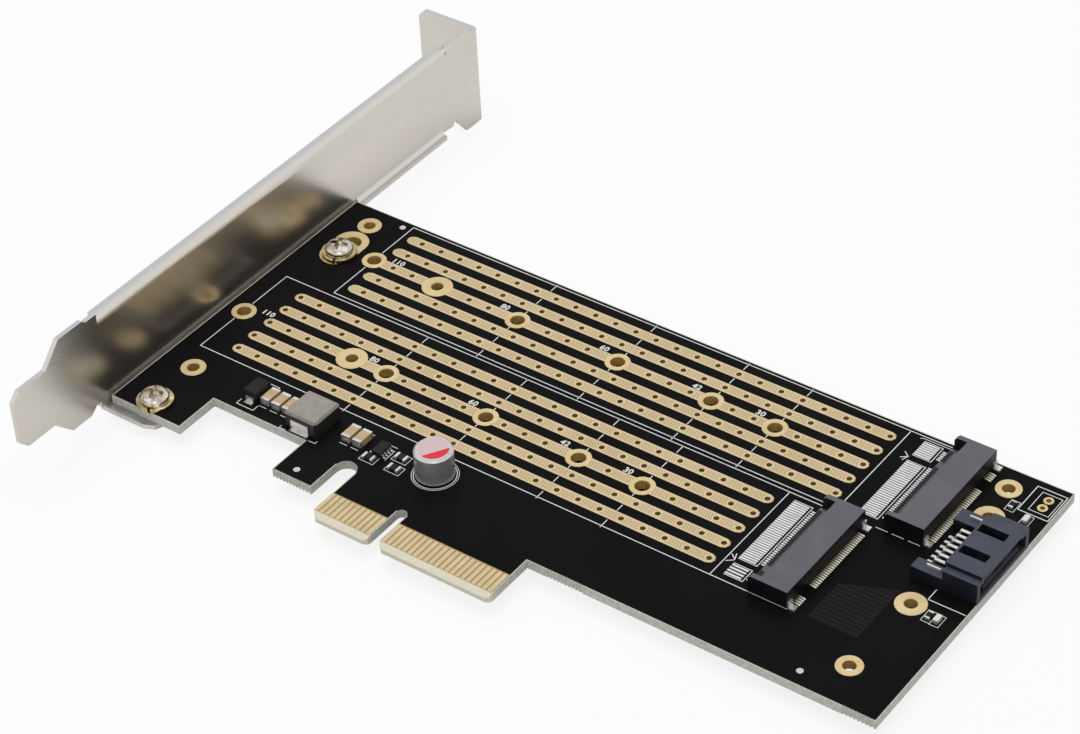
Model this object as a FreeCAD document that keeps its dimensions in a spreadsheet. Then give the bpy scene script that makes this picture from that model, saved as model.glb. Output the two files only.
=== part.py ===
"""Expansion card that carries two M.2 drives: bare board, folded bracket, sockets and small parts.

Frame: the origin is where the centre line of the edge connector's key notch meets the lower edge of
the connector tongue, on the component face. +X runs along the card away from the bracket, +Y from the
edge connector across the card, +Z out of the component face.
"""

import FreeCAD, Part
import math
import os
import Sketcher

SIZES = {
    # sides of the prisms that stand for small round forms
    "ring_sides": 12,
    "small_sides": 8,
    # circuit board
    "board_thick": 1.6,
    "board_left": 56.65,
    "board_right": 82.8,
    "board_top": 67.65,
    "board_low": 9.85,
    "board_corner": 1.0,
    "foot_width": 14.35,
    "foot_low": 4.65,
    "recess_top": 13.05,
    "hook_width": 7.7,
    "hook_low": 4.95,
    "slot_width": 3.8,
    "slot_top": 13.1,
    # edge connector
    "contact_pitch": 1.0,
    "contact_width": 0.7,
    "contact_length": 4.4,
    "contact_start": 1.2,
    "key_gap": 3.0,
    "key_width": 1.9,
    "key_top": 8.65,
    "contacts_before": 11,
    "contacts_after": 21,
    "tab_margin": 0.65,
    "tab_corner": 1.1,
    "bevel_long": 1.1,
    "bevel_deep": 0.4,
    "copper_thick": 0.05,
    # drive rows: distances from each socket's reference line to its five fixing holes
    "reach_30": 30.0,
    "reach_42": 42.0,
    "reach_60": 60.0,
    "reach_80": 80.0,
    "reach_110": 110.0,
    "m_axis": 33.2,
    "m_line": 57.0,
    "b_axis": 55.95,
    "b_line": 66.5,
    "fixing_radius": 1.3,
    "fixing_ring": 2.12,
    "pad_clear": 0.06,
    "centre_line": 30.1,
    "centre_radius": 1.1,
    "centre_ring": 2.65,
    "strip_width": 2.1,
    "strip_pitch": 4.0,
    "m_strip_left": 48.45,
    "m_strip_right": 45.65,
    "b_strip_left": 42.5,
    "b_strip_right": 53.55,
    "ring_outer": 2.12,
    "ring_hole": 1.1,
    "corner_left": 50.3,
    "corner_right": 73.9,
    "corner_low": 17.3,
    "corner_high": 63.25,
    "sink_right": 74.6,
    "wide_ring": 2.5,
    "ring_thick": 0.07,
    "pin_ring": 0.85,
    "pin_hole": 0.45,
    "pin_pitch": 1.95,
    "dot_radius": 0.55,
    "dot_left_x": 45.2,
    "dot_left_y": 65.9,
    "dot_mid_x": 20.0,
    "dot_mid_y": 6.9,
    "dot_right_x": 68.6,
    "dot_right_y": 12.5,
    "pin_x": 80.3,
    "pin_y": 64.1,
    # bracket
    "face_left": 57.15,
    "sheet": 0.86,
    "bracket_top_end": 104.75,
    "bracket_low_end": 15.25,
    "bracket_base": 1.45,
    "bracket_width": 18.4,
    "lip_top": 15.95,
    "lip_start": 4.5,
    "lip_end": 95.2,
    "bend_inner": 1.0,
    "low_lip_start": 68.2,
    "low_lip_end": 92.7,
    "low_lip_under": 1.57,
    "shoulder_over": 0.35,
    "shoulder_back": 2.4,
    "shoulder_rise": 0.8,
    "low_relief": 0.3,
    "low_relief_start": 1.6,
    "low_relief_end": 2.7,
    "low_relief_slope": 1.3,
    "ear_start": 7.15,
    "ear_end": 5.0,
    "ear_root": 1.3,
    "ear_foot_deep": 0.6,
    "ear_step": 1.8,
    "ear_step_deep": 0.9,
    "ear_notch_start": 1.4,
    "ear_notch_end": 0.4,
    "ear_notch_deep": 0.2,
    "crown_flat": 1.2,
    "crown_slope": 3.8,
    "tongue_corner": 1.6,
    "tongue_low": 2.1,
    "tongue_high": 13.05,
    "tongue_end": 7.7,
    "tongue_root": 4.1,
    "top_tab_reach": 12.85,
    "top_tab_low": 3.95,
    "top_tab_high": 15.1,
    "top_tab_cut_low": 1.5,
    "top_tab_cut_high": 1.2,
    "top_bend": 1.118,
    "screw_slot": 4.4,
    "screw_slot_reach": 6.3,
    "screw_slot_deep": 5.2,
    "lug_width": 8.0,
    "lug_reach": 10.7,
    "lug_corner": 2.6,
    "lug_corner_cut": 0.78,
    "collar_radius": 2.3,
    "collar_height": 0.9,
    # bracket screws
    "screw_line": 49.6,
    "screw_near": 7.25,
    "screw_far": 54.2,
    "screw_slack": 0.2,
    "oval_line": 49.75,
    "oval_pad": 49.95,
    "oval_low": 54.05,
    "oval_span": 3.75,
    "oval_ring": 3.05,
    "shank_radius": 1.45,
    "shank_length": 3.6,
    "head_radius": 2.42,
    "head_height": 1.75,
    "head_dome": 0.75,
    "recess_long": 2.9,
    "recess_wide": 0.7,
    "recess_deep": 1.1,
    "washer_outer": 3.05,
    "washer_inner": 1.6,
    "washer_thick": 0.7,
    "washer_split": 0.5,
    # M.2 sockets
    "m2_places": 37,
    "m2_end": 1.65,
    "m2_height": 3.2,
    "m2_front": 3.75,
    "m2_back": 3.15,
    "m2_sill": 0.95,
    "m2_apron": 0.4,
    "m2_apron_high": 0.75,
    "m2_slot_high": 1.95,
    "m2_hood": 2.2,
    "m2_slot_deep": 5.3,
    "m2_card_slack": 0.725,
    "m2_key_width": 1.0,
    "m_key_place": 6.25,
    "b_key_place": 29.75,
    "m2_nose": 0.5,
    "m2_sill_start": 0.5,
    "m2_sill_end": 0.9,
    "m2_pitch": 0.5,
    "m2_pin": 0.24,
    "m2_pin_thick": 0.16,
    "m2_foot": 1.2,
    "m2_riser": 1.1,
    "m2_heel_slope": 0.3,
    "m2_toe": 0.95,
    "m2_toe_high": 0.3,
    "m2_clip_width": 1.1,
    "m2_clip_high": 1.3,
    # data socket
    "sata_axis": 45.78,
    "sata_width": 15.3,
    "sata_rear": 71.5,
    "sata_step": 76.8,
    "sata_front": 82.7,
    "sata_arm_near": 2.35,
    "sata_arm_far": 2.85,
    "sata_arm_high": 2.2,
    "sata_shoulder": 3.84,
    "sata_shoulder_wall": 0.8,
    "sata_roof": 4.55,
    "sata_roof_near": 1.25,
    "sata_roof_far": 1.75,
    "sata_roof_back": 0.3,
    "sata_floor": 0.6,
    "sata_wall": 0.95,
    "sata_roof_wall": 0.6,
    "sata_ceiling": 3.5,
    "sata_cavity": 5.0,
    "sata_window_mid": 45.98,
    "sata_window_off": 2.74,
    "sata_window_wide": 1.75,
    "sata_window_long": 4.6,
    "sata_window_edge": 1.2,
    "blade_width": 10.4,
    "blade_low": 0.95,
    "blade_high": 1.55,
    "blade_reach": 4.6,
    "blade_leg": 1.0,
    "sata_pitch": 1.27,
    "sata_pin": 0.5,
    "sata_pin_thick": 0.25,
    "sata_pin_mid": 44.95,
    "sata_pin_high": 2.3,
    "sata_pin_back": 4.6,
    "sata_pin_foot": 0.9,
    "sata_pin_rise": 1.3,
    "peg_long": 2.4,
    "peg_thick": 0.3,
    "peg_high": 0.5,
    "peg_start": 2.0,
    "peg_in": 1.15,
    # can capacitor
    "can_x": 1.25,
    "can_y": 17.83,
    "can_radius": 3.15,
    "can_height": 5.35,
    "can_edge": 0.45,
    "bung_radius": 2.75,
    "bung_height": 0.35,
    "lead_radius": 0.25,
    "lead_span": 2.5,
    "solder_radius": 0.75,
    "solder_height": 0.4,
    "lead_stub": 0.4,
    "lead_slack": 0.1,
    # choke
    "choke_x": 25.25,
    "choke_y": 17.4,
    "choke_side": 6.5,
    "choke_high": 3.0,
    "choke_edge": 0.35,
    "strap_wide": 3.5,
    "strap_thick": 0.2,
    "strap_high": 1.9,
    "strap_foot": 0.7,
    # diode
    "diode_x": 36.8,
    "diode_y": 17.6,
    "diode_wide": 2.8,
    "diode_long": 3.9,
    "diode_high": 2.05,
    "diode_waist": 1.0,
    "diode_draft": 0.15,
    "diode_lead": 1.5,
    "diode_foot": 0.75,
    # chip parts
    "chip_long": 3.2,
    "chip_wide": 1.65,
    "chip_high": 1.25,
    "chip_end": 0.5,
    "chip_y": 17.85,
    "chip_pitch": 2.2,
    "chip_left_x": 34.3,
    "chip_right_x": 17.8,
    "small_long": 2.0,
    "small_wide": 1.25,
    "small_high": 0.55,
    "small_end": 0.4,
    "tiny_long": 1.6,
    "tiny_wide": 0.8,
    "tiny_high": 0.5,
    "tiny_end": 0.3,
    "lamp_high": 0.7,
    "divider_x": 12.25,
    "divider_y": 15.2,
    "filter_x": 7.9,
    "filter_y": 17.9,
    "pull_up_x": 7.3,
    "pull_up_y": 15.3,
    "series_low_x": 78.2,
    "series_low_y": 32.3,
    "series_high_x": 76.3,
    "series_high_y": 60.1,
    "lamp_x": 79.65,
    "lamp_low_y": 32.2,
    "lamp_high_y": 58.2,
    # regulator
    "chip8_x": 11.55,
    "chip8_y": 17.5,
    "chip8_wide": 1.7,
    "chip8_long": 2.9,
    "chip8_high": 1.05,
    "chip8_lift": 0.1,
    "chip8_pitch": 0.65,
    "chip8_pin": 0.32,
    "chip8_reach": 0.65,
    "chip8_pin_thick": 0.15,
    "chip8_shoulder": 0.55,
}

doc = FreeCAD.newDocument("drive_card")
sheet = doc.addObject("Spreadsheet::Sheet", "Sizes")
for row, (word, number) in enumerate(SIZES.items(), start=1):
    sheet.set("A%d" % row, word)
    sheet.set("B%d" % row, "%g" % number)
    sheet.setAlias("B%d" % row, word)
doc.recompute()

NODES = []


def size(word):
    """One number from the sheet."""
    return float(sheet.get(word))


def formula(text):
    """The same text as an expression that reads the sheet."""
    out = text
    for word in sorted(SIZES, key=len, reverse=True):
        pieces = out.split(word)
        joined = pieces[0]
        for piece in pieces[1:]:
            part_of_name = (joined and (joined[-1].isalnum() or joined[-1] in "_.")) or (
                piece and (piece[0].isalnum() or piece[0] == "_"))
            joined += (word if part_of_name else "Sizes." + word) + piece
        out = joined
    return out


def place(item, x="0", y="0", z="0"):
    """Binds an object's position to formulas."""
    item.setExpression(".Placement.Base.x", formula(x))
    item.setExpression(".Placement.Base.y", formula(y))
    item.setExpression(".Placement.Base.z", formula(z))
    return item


def node(item, label):
    """Marks an object as one named piece of the card."""
    item.Label = label
    NODES.append(item)
    return item


def block(name, long, wide, high, x, y, z):
    """A box from its low corner."""
    item = doc.addObject("Part::Box", name)
    item.setExpression("Length", formula(long))
    item.setExpression("Width", formula(wide))
    item.setExpression("Height", formula(high))
    return place(item, x, y, z)


def post(name, radius, high, x, y, z):
    """An upright cylinder from the centre of its lower end."""
    item = doc.addObject("Part::Cylinder", name)
    item.setExpression("Radius", formula(radius))
    item.setExpression("Height", formula(high))
    return place(item, x, y, z)


def peg(name, radius, high, x, y, z, sides="ring_sides"):
    """An upright many-sided prism in place of a cylinder, for round forms that repeat."""
    item = doc.addObject("Part::Prism", name)
    item.setExpression("Polygon", formula(sides))
    item.setExpression("Circumradius", formula(radius))
    item.setExpression("Height", formula(high))
    return place(item, x, y, z)


def fuse(name, items):
    item = doc.addObject("Part::MultiFuse", name)
    item.Shapes = items
    item.Refine = True
    return item


def cut(name, base, tool):
    item = doc.addObject("Part::Cut", name)
    item.Base = base
    item.Tool = tool
    return item


def group(name, items):
    """Separate solids that share one node."""
    item = doc.addObject("Part::Compound", name)
    item.Links = items
    return item


def new_body(name):
    body = doc.addObject("PartDesign::Body", name)
    body.AllowCompound = True
    return body


def origin_item(body, role):
    return [item for item in body.Origin.OriginFeatures if item.Role == role][0]


def sketch_on(body, name, plane, offset="0"):
    """An empty sketch on one of the body's own planes, at a distance along the plane's normal."""
    sketch = body.newObject("Sketcher::SketchObject", name)
    sketch.AttachmentSupport = (origin_item(body, plane), "")
    sketch.MapMode = "FlatFace"
    sketch.setExpression(".AttachmentOffset.Base.z", formula(offset))
    return sketch


def outline(sketch, corners):
    """Adds a closed polygon whose corners stay bound to formulas."""
    first = sketch.GeometryCount
    count = len(corners)
    spots = [FreeCAD.Vector(value(x), value(y), 0) for x, y in corners]
    for i in range(count):
        sketch.addGeometry(Part.LineSegment(spots[i], spots[(i + 1) % count]))
    for i in range(count):
        sketch.addConstraint(Sketcher.Constraint("Coincident", first + i, 2, first + (i + 1) % count, 1))
    for i, (x, y) in enumerate(corners):
        bind_point(sketch, first + i, 1, x, y)


def quarter(sketch, x, y, start, outer, inner):
    """Adds a quarter of a ring about a centre, starting at a compass angle, as the section of a bend."""
    middle = FreeCAD.Vector(value(x), value(y), 0)
    up = FreeCAD.Vector(0, 0, 1)
    begin = math.radians(start)
    arcs = []
    for radius in (outer, inner):
        circle = Part.Circle(middle, up, value(radius))
        arcs.append(sketch.addGeometry(Part.ArcOfCircle(circle, begin, begin + math.pi / 2)))
        bind_point(sketch, arcs[-1], 3, x, y)
        tie = sketch.addConstraint(Sketcher.Constraint("Radius", arcs[-1], value(radius)))
        sketch.setExpression("Constraints[%d]" % tie, formula(radius))
    ends = [[middle + FreeCAD.Vector(math.cos(turn), math.sin(turn), 0) * value(radius)
             for turn in (begin, begin + math.pi / 2)] for radius in (outer, inner)]
    for k in (0, 1):
        line = sketch.addGeometry(Part.LineSegment(ends[0][k], ends[1][k]))
        sketch.addConstraint(Sketcher.Constraint("Coincident", line, 1, arcs[0], k + 1))
        sketch.addConstraint(Sketcher.Constraint("Coincident", line, 2, arcs[1], k + 1))
        flat = (start + 90 * k) % 180 == 0
        sketch.addConstraint(Sketcher.Constraint("Horizontal" if flat else "Vertical", line))


def ring(sketch, x, y, radius):
    """Adds a circle with its centre and radius bound to formulas."""
    spot = FreeCAD.Vector(value(x), value(y), 0)
    index = sketch.addGeometry(Part.Circle(spot, FreeCAD.Vector(0, 0, 1), value(radius)))
    bind_point(sketch, index, 3, x, y)
    tie = sketch.addConstraint(Sketcher.Constraint("Radius", index, value(radius)))
    sketch.setExpression("Constraints[%d]" % tie, formula(radius))


def bind_point(sketch, index, end, x, y):
    for kind, text in (("DistanceX", x), ("DistanceY", y)):
        tie = sketch.addConstraint(Sketcher.Constraint(kind, -1, 1, index, end, value(text)))
        sketch.setExpression("Constraints[%d]" % tie, formula(text))


def value(text):
    """The number that a formula gives now."""
    number = sheet.evalExpression(formula(text).replace("Sizes.", ""))
    return float(getattr(number, "Value", number))


def pad(body, name, sketch, length, reverse=False, both=False):
    feature = body.newObject("PartDesign::Pad", name)
    feature.Profile = sketch
    feature.setExpression("Length", formula(length))
    feature.Reversed = reverse
    feature.Midplane = both
    return feature


def pocket(body, name, sketch, length, reverse=False, both=False):
    """A pocket that has to take material away."""
    doc.recompute()
    before = body.Shape.Volume
    feature = body.newObject("PartDesign::Pocket", name)
    feature.Profile = sketch
    feature.setExpression("Length", formula(length))
    feature.Reversed = reverse
    feature.Midplane = both
    doc.recompute()
    if not body.Shape.Volume < before:
        raise RuntimeError(name + " cut nothing")
    return feature


def revolve(body, name, sketch, axis_edge):
    """A full turn of a profile about one of its own edges."""
    turn = body.newObject("PartDesign::Revolution", name)
    turn.Profile = sketch
    turn.ReferenceAxis = (sketch, [axis_edge])
    turn.Angle = 360
    return turn


def row_of(body, name, feature, axis, count, step):
    """Repeats a feature in a straight row."""
    doc.recompute()
    pattern = body.newObject("PartDesign::LinearPattern", name)
    pattern.Originals = [feature]
    pattern.Direction = (origin_item(body, axis), [""])
    pattern.Mode = "Spacing"
    pattern.setExpression("Offset", formula(step))
    pattern.setExpression("Occurrences", formula(count))
    body.Tip = pattern
    return pattern


def edges_where(shape, test, along=None):
    """Names of the edges whose ends and middle pass a test, and that run along an axis if one is given."""
    names = []
    for i, edge in enumerate(shape.Edges, start=1):
        ends = [vertex.Point for vertex in edge.Vertexes]
        if along and (len(ends) < 2 or (ends[1] - ends[0]).cross(along).Length > 0.001):
            continue
        if ends and all(test(spot) for spot in ends) and test(edge.CenterOfMass):
            names.append("Edge%d" % i)
    return names


def round_edges(body, name, radius, test, along=None):
    """A fillet on the edges of the body's tip that pass a test."""
    doc.recompute()
    base = body.Tip
    names = edges_where(base.Shape, test, along)
    if not names:
        raise RuntimeError(name + " found no edge")
    feature = body.newObject("PartDesign::Fillet", name)
    feature.Base = (base, names)
    feature.setExpression("Radius", formula(radius))
    doc.recompute()
    return feature


def near(a, b):
    return abs(a - b) < 0.01


# ---------------------------------------------------------------- places shared by several pieces

REACHES = ["reach_30", "reach_42", "reach_60", "reach_80", "reach_110"]
FIXINGS = [("m_line - " + reach, "m_axis") for reach in REACHES]
FIXINGS += [("b_line - " + reach, "b_axis") for reach in REACHES]
CENTRES = [("-centre_line", "m_axis"), ("-centre_line", "b_axis")]
TOOLING = [("-corner_left", "corner_high", "ring_outer"), ("-corner_left", "corner_low", "ring_outer"),
           ("corner_right", "corner_high", "ring_outer"), ("corner_right", "corner_low", "ring_outer"),
           ("sink_right", "m_axis", "wide_ring"), ("sink_right", "b_axis", "wide_ring")]
SINKS = CENTRES + [("sink_right", "m_axis"), ("sink_right", "b_axis")]
PIN_HOLES = [("pin_x", "pin_y"), ("pin_x", "pin_y - pin_pitch")]
DOTS = [("-dot_left_x", "dot_left_y"), ("-dot_mid_x", "dot_mid_y"), ("dot_right_x", "dot_right_y")]
TAB_LEFT = "-key_gap / 2 - (contacts_before - 1) * contact_pitch - tab_margin"
TAB_RIGHT = "key_gap / 2 + (contacts_after - 1) * contact_pitch + tab_margin"
ROW_HALF = "m2_places * m2_pitch / 2"
# contacts of each socket: first place and number of the one group, then of the other
M_KEY_GROUPS = (0, 5, 9, 29)
B_KEY_GROUPS = (0, 28, 32, 6)
SOCKET_HALF = "(m2_places * m2_pitch / 2 + m2_end)"
CARD_HALF = "(m2_places * m2_pitch / 2 + m2_card_slack)"


# ---------------------------------------------------------------- circuit board

def slotted(name, x, radius, high, z):
    """A straight slot with round ends, along Y, for the upper bracket screw."""
    bar = block(name + "Bar", "2 * (%s)" % radius, "oval_span", high,
                "%s - (%s)" % (x, radius), "oval_low", z)
    return [bar, peg(name + "Low", radius, high, x, "oval_low", z),
            peg(name + "High", radius, high, x, "oval_low + oval_span", z)]


def make_board():
    body = new_body("BoardBody")
    slot_left = TAB_LEFT + " - slot_width"
    hook_left = slot_left + " - hook_width"
    slot_straight = "slot_top - slot_width / 2"
    key_straight = "key_top - key_width / 2"
    edge = sketch_on(body, "BoardOutline", "XY_Plane")
    outline(edge, [
        ("-board_left", "foot_low"),
        ("foot_width - board_left", "foot_low"),
        ("foot_width - board_left", "recess_top"),
        (hook_left, "recess_top"),
        (hook_left, "hook_low"),
        (slot_left, "hook_low"),
        (slot_left, slot_straight),
        (TAB_LEFT, slot_straight),
        (TAB_LEFT, "tab_corner"),
        (TAB_LEFT + " + tab_corner", "0"),
        ("-key_width / 2 - tab_corner / 2", "0"),
        ("-key_width / 2", "tab_corner / 2"),
        ("-key_width / 2", key_straight),
        ("key_width / 2", key_straight),
        ("key_width / 2", "tab_corner"),
        ("key_width / 2 + tab_corner", "0"),
        (TAB_RIGHT + " - tab_corner / 2", "0"),
        (TAB_RIGHT, "tab_corner / 2"),
        (TAB_RIGHT, "board_low"),
        ("board_right", "board_low"),
        ("board_right", "board_top"),
        ("-board_left", "board_top"),
    ])
    pad(body, "BoardPad", edge, "board_thick", reverse=True)

    ends = sketch_on(body, "RoundEnds", "XY_Plane")
    ring(ends, TAB_LEFT + " - slot_width / 2", slot_straight, "slot_width / 2")
    ring(ends, "0", key_straight, "key_width / 2")
    pocket(body, "RoundEndCuts", ends, "2 * board_thick", both=True)

    bevel = sketch_on(body, "BevelOutline", "YZ_Plane")
    outline(bevel, [("0", "0"), ("bevel_long", "0"), ("0", "-bevel_deep")])
    outline(bevel, [("0", "-board_thick"), ("bevel_long", "-board_thick"),
                    ("0", "bevel_deep - board_thick")])
    pocket(body, "BevelCuts", bevel, "2 * board_right", both=True)

    round_edges(body, "BoardCorner", "board_corner",
                lambda p: near(p.x, size("board_right")) and near(p.y, size("board_top")))

    drill = ("2 * board_thick", "-1.5 * board_thick")
    holes = [(x, y, "ring_hole", "ring_sides") for x, y, _ in TOOLING if x != "sink_right"]
    holes += [(x, y, "pin_hole", "small_sides") for x, y in PIN_HOLES]
    holes.append(("-screw_line", "screw_near", "shank_radius + screw_slack", "ring_sides"))
    holes += [("-can_x %s lead_span / 2" % side, "can_y", "lead_radius + lead_slack", "small_sides")
              for side in ("-", "+")]
    tools = [peg("Drill%d" % i, radius, drill[0], x, y, drill[1], sides)
             for i, (x, y, radius, sides) in enumerate(holes)]
    tools += [post("Fixing%d" % i, "fixing_radius", drill[0], x, y, drill[1])
              for i, (x, y) in enumerate(FIXINGS)]
    tools += [post("Sink%d" % i, "centre_radius", drill[0], x, y, drill[1])
              for i, (x, y) in enumerate(SINKS)]
    tools += slotted("OvalDrill", "-oval_line", "shank_radius + screw_slack", drill[0], drill[1])
    return node(cut("Board", body, fuse("Drills", tools)), "circuit_board")


# ---------------------------------------------------------------- copper on the board

def make_strip(name, left, right, axis, high):
    """One bare copper strip with round ends, standing on the component face."""
    half = "strip_width / 2"
    bar = block(name + "Bar", "%s - (%s) - strip_width" % (right, left), "strip_width", high,
                "%s + %s" % (left, half), "%s - %s" % (axis, half), "0")
    near_end = peg(name + "Left", half, high, "%s + %s" % (left, half), axis, "0", "small_sides")
    far_end = peg(name + "Right", half, high, "%s - %s" % (right, half), axis, "0", "small_sides")
    return [bar, near_end, far_end]


def make_copper(prefix, label, left, right, axis, line):
    """Five strips; the middle one carries the rings of the fixing holes."""
    strips = []
    for i in range(-2, 3):
        name = "%sStrip%d" % (prefix, i + 2)
        pieces = make_strip(name, left, right, "%s + (%d) * strip_pitch" % (axis, i), "copper_thick")
        if i:
            strips.append(fuse(name, pieces))
            continue
        spots = [("%s - %s" % (line, reach), "fixing_ring", "fixing_radius") for reach in REACHES]
        spots.append(("-centre_line", "centre_ring", "centre_radius"))
        discs = [peg("%sDisc%d" % (name, k), spot[1], "copper_thick", spot[0], axis, "0")
                 for k, spot in enumerate(spots)]
        bores = [peg("%sBore%d" % (name, k), spot[2] + " + pad_clear", "4 * copper_thick",
                     spot[0], axis, "-copper_thick")
                 for k, spot in enumerate(spots)]
        solid = fuse(name + "Solid", pieces + discs)
        strips.append(cut(name, solid, fuse(name + "Bores", bores)))
    return node(group(prefix + "Copper", strips), label)


def make_ring(name, x, y, outer, inner, high, low="0", sides="ring_sides"):
    disc = peg(name + "Disc", outer, high, x, y, low, sides)
    bore = peg(name + "Bore", inner, "3 * (%s)" % high, x, y, "%s - (%s)" % (low, high), sides)
    return cut(name, disc, bore)


def make_rings():
    """Plated rings round the tooling holes and the header holes, and three plain dots."""
    top = [make_ring("TopRing%d" % i, x, y, outer, "ring_hole + pad_clear", "ring_thick")
           for i, (x, y, outer) in enumerate(TOOLING)]
    node(group("TopRings", top), "tooling_rings")
    pins = [make_ring("PinRing%d" % i, x, y, "pin_ring", "pin_hole", "ring_thick", sides="small_sides")
            for i, (x, y) in enumerate(PIN_HOLES)]
    node(group("PinRings", pins), "header_rings")
    dots = [peg("Dot%d" % i, "dot_radius", "ring_thick", x, y, "0", "small_sides")
            for i, (x, y) in enumerate(DOTS)]
    node(group("Dots", dots), "fiducial_dots")


def make_oval_ring():
    """Plated oval round the slotted screw hole."""
    pad_solid = fuse("Oval", slotted("OvalPad", "-oval_pad", "oval_ring", "ring_thick", "0"))
    hole = fuse("OvalHole", slotted("OvalBore", "-oval_line", "shank_radius + screw_slack",
                                    "3 * ring_thick", "-ring_thick"))
    return node(cut("OvalRing", pad_solid, hole), "oval_screw_ring")


def make_contacts(prefix, label, low):
    """The gold contacts of the edge connector on one face."""
    body = new_body(prefix + "Contacts")
    flat = sketch_on(body, prefix + "Contact", "XY_Plane", low)
    half = "contact_width / 2"
    x = "-key_gap / 2"
    outline(flat, [(x + " - " + half, "contact_start"), (x + " + " + half, "contact_start"),
                   (x + " + " + half, "contact_start + contact_length"),
                   (x + " - " + half, "contact_start + contact_length")])
    first = pad(body, prefix + "Before", flat, "copper_thick")
    body_row = row_of(body, prefix + "BeforeRow", first, "X_Axis", "contacts_before", "contact_pitch")
    body_row.Reversed = True
    flat = sketch_on(body, prefix + "ContactAfter", "XY_Plane", low)
    x = "key_gap / 2"
    outline(flat, [(x + " - " + half, "contact_start"), (x + " + " + half, "contact_start"),
                   (x + " + " + half, "contact_start + contact_length"),
                   (x + " - " + half, "contact_start + contact_length")])
    after = pad(body, prefix + "After", flat, "copper_thick")
    row_of(body, prefix + "AfterRow", after, "X_Axis", "contacts_after", "contact_pitch")
    return node(body, label)


# ---------------------------------------------------------------- bracket

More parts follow.
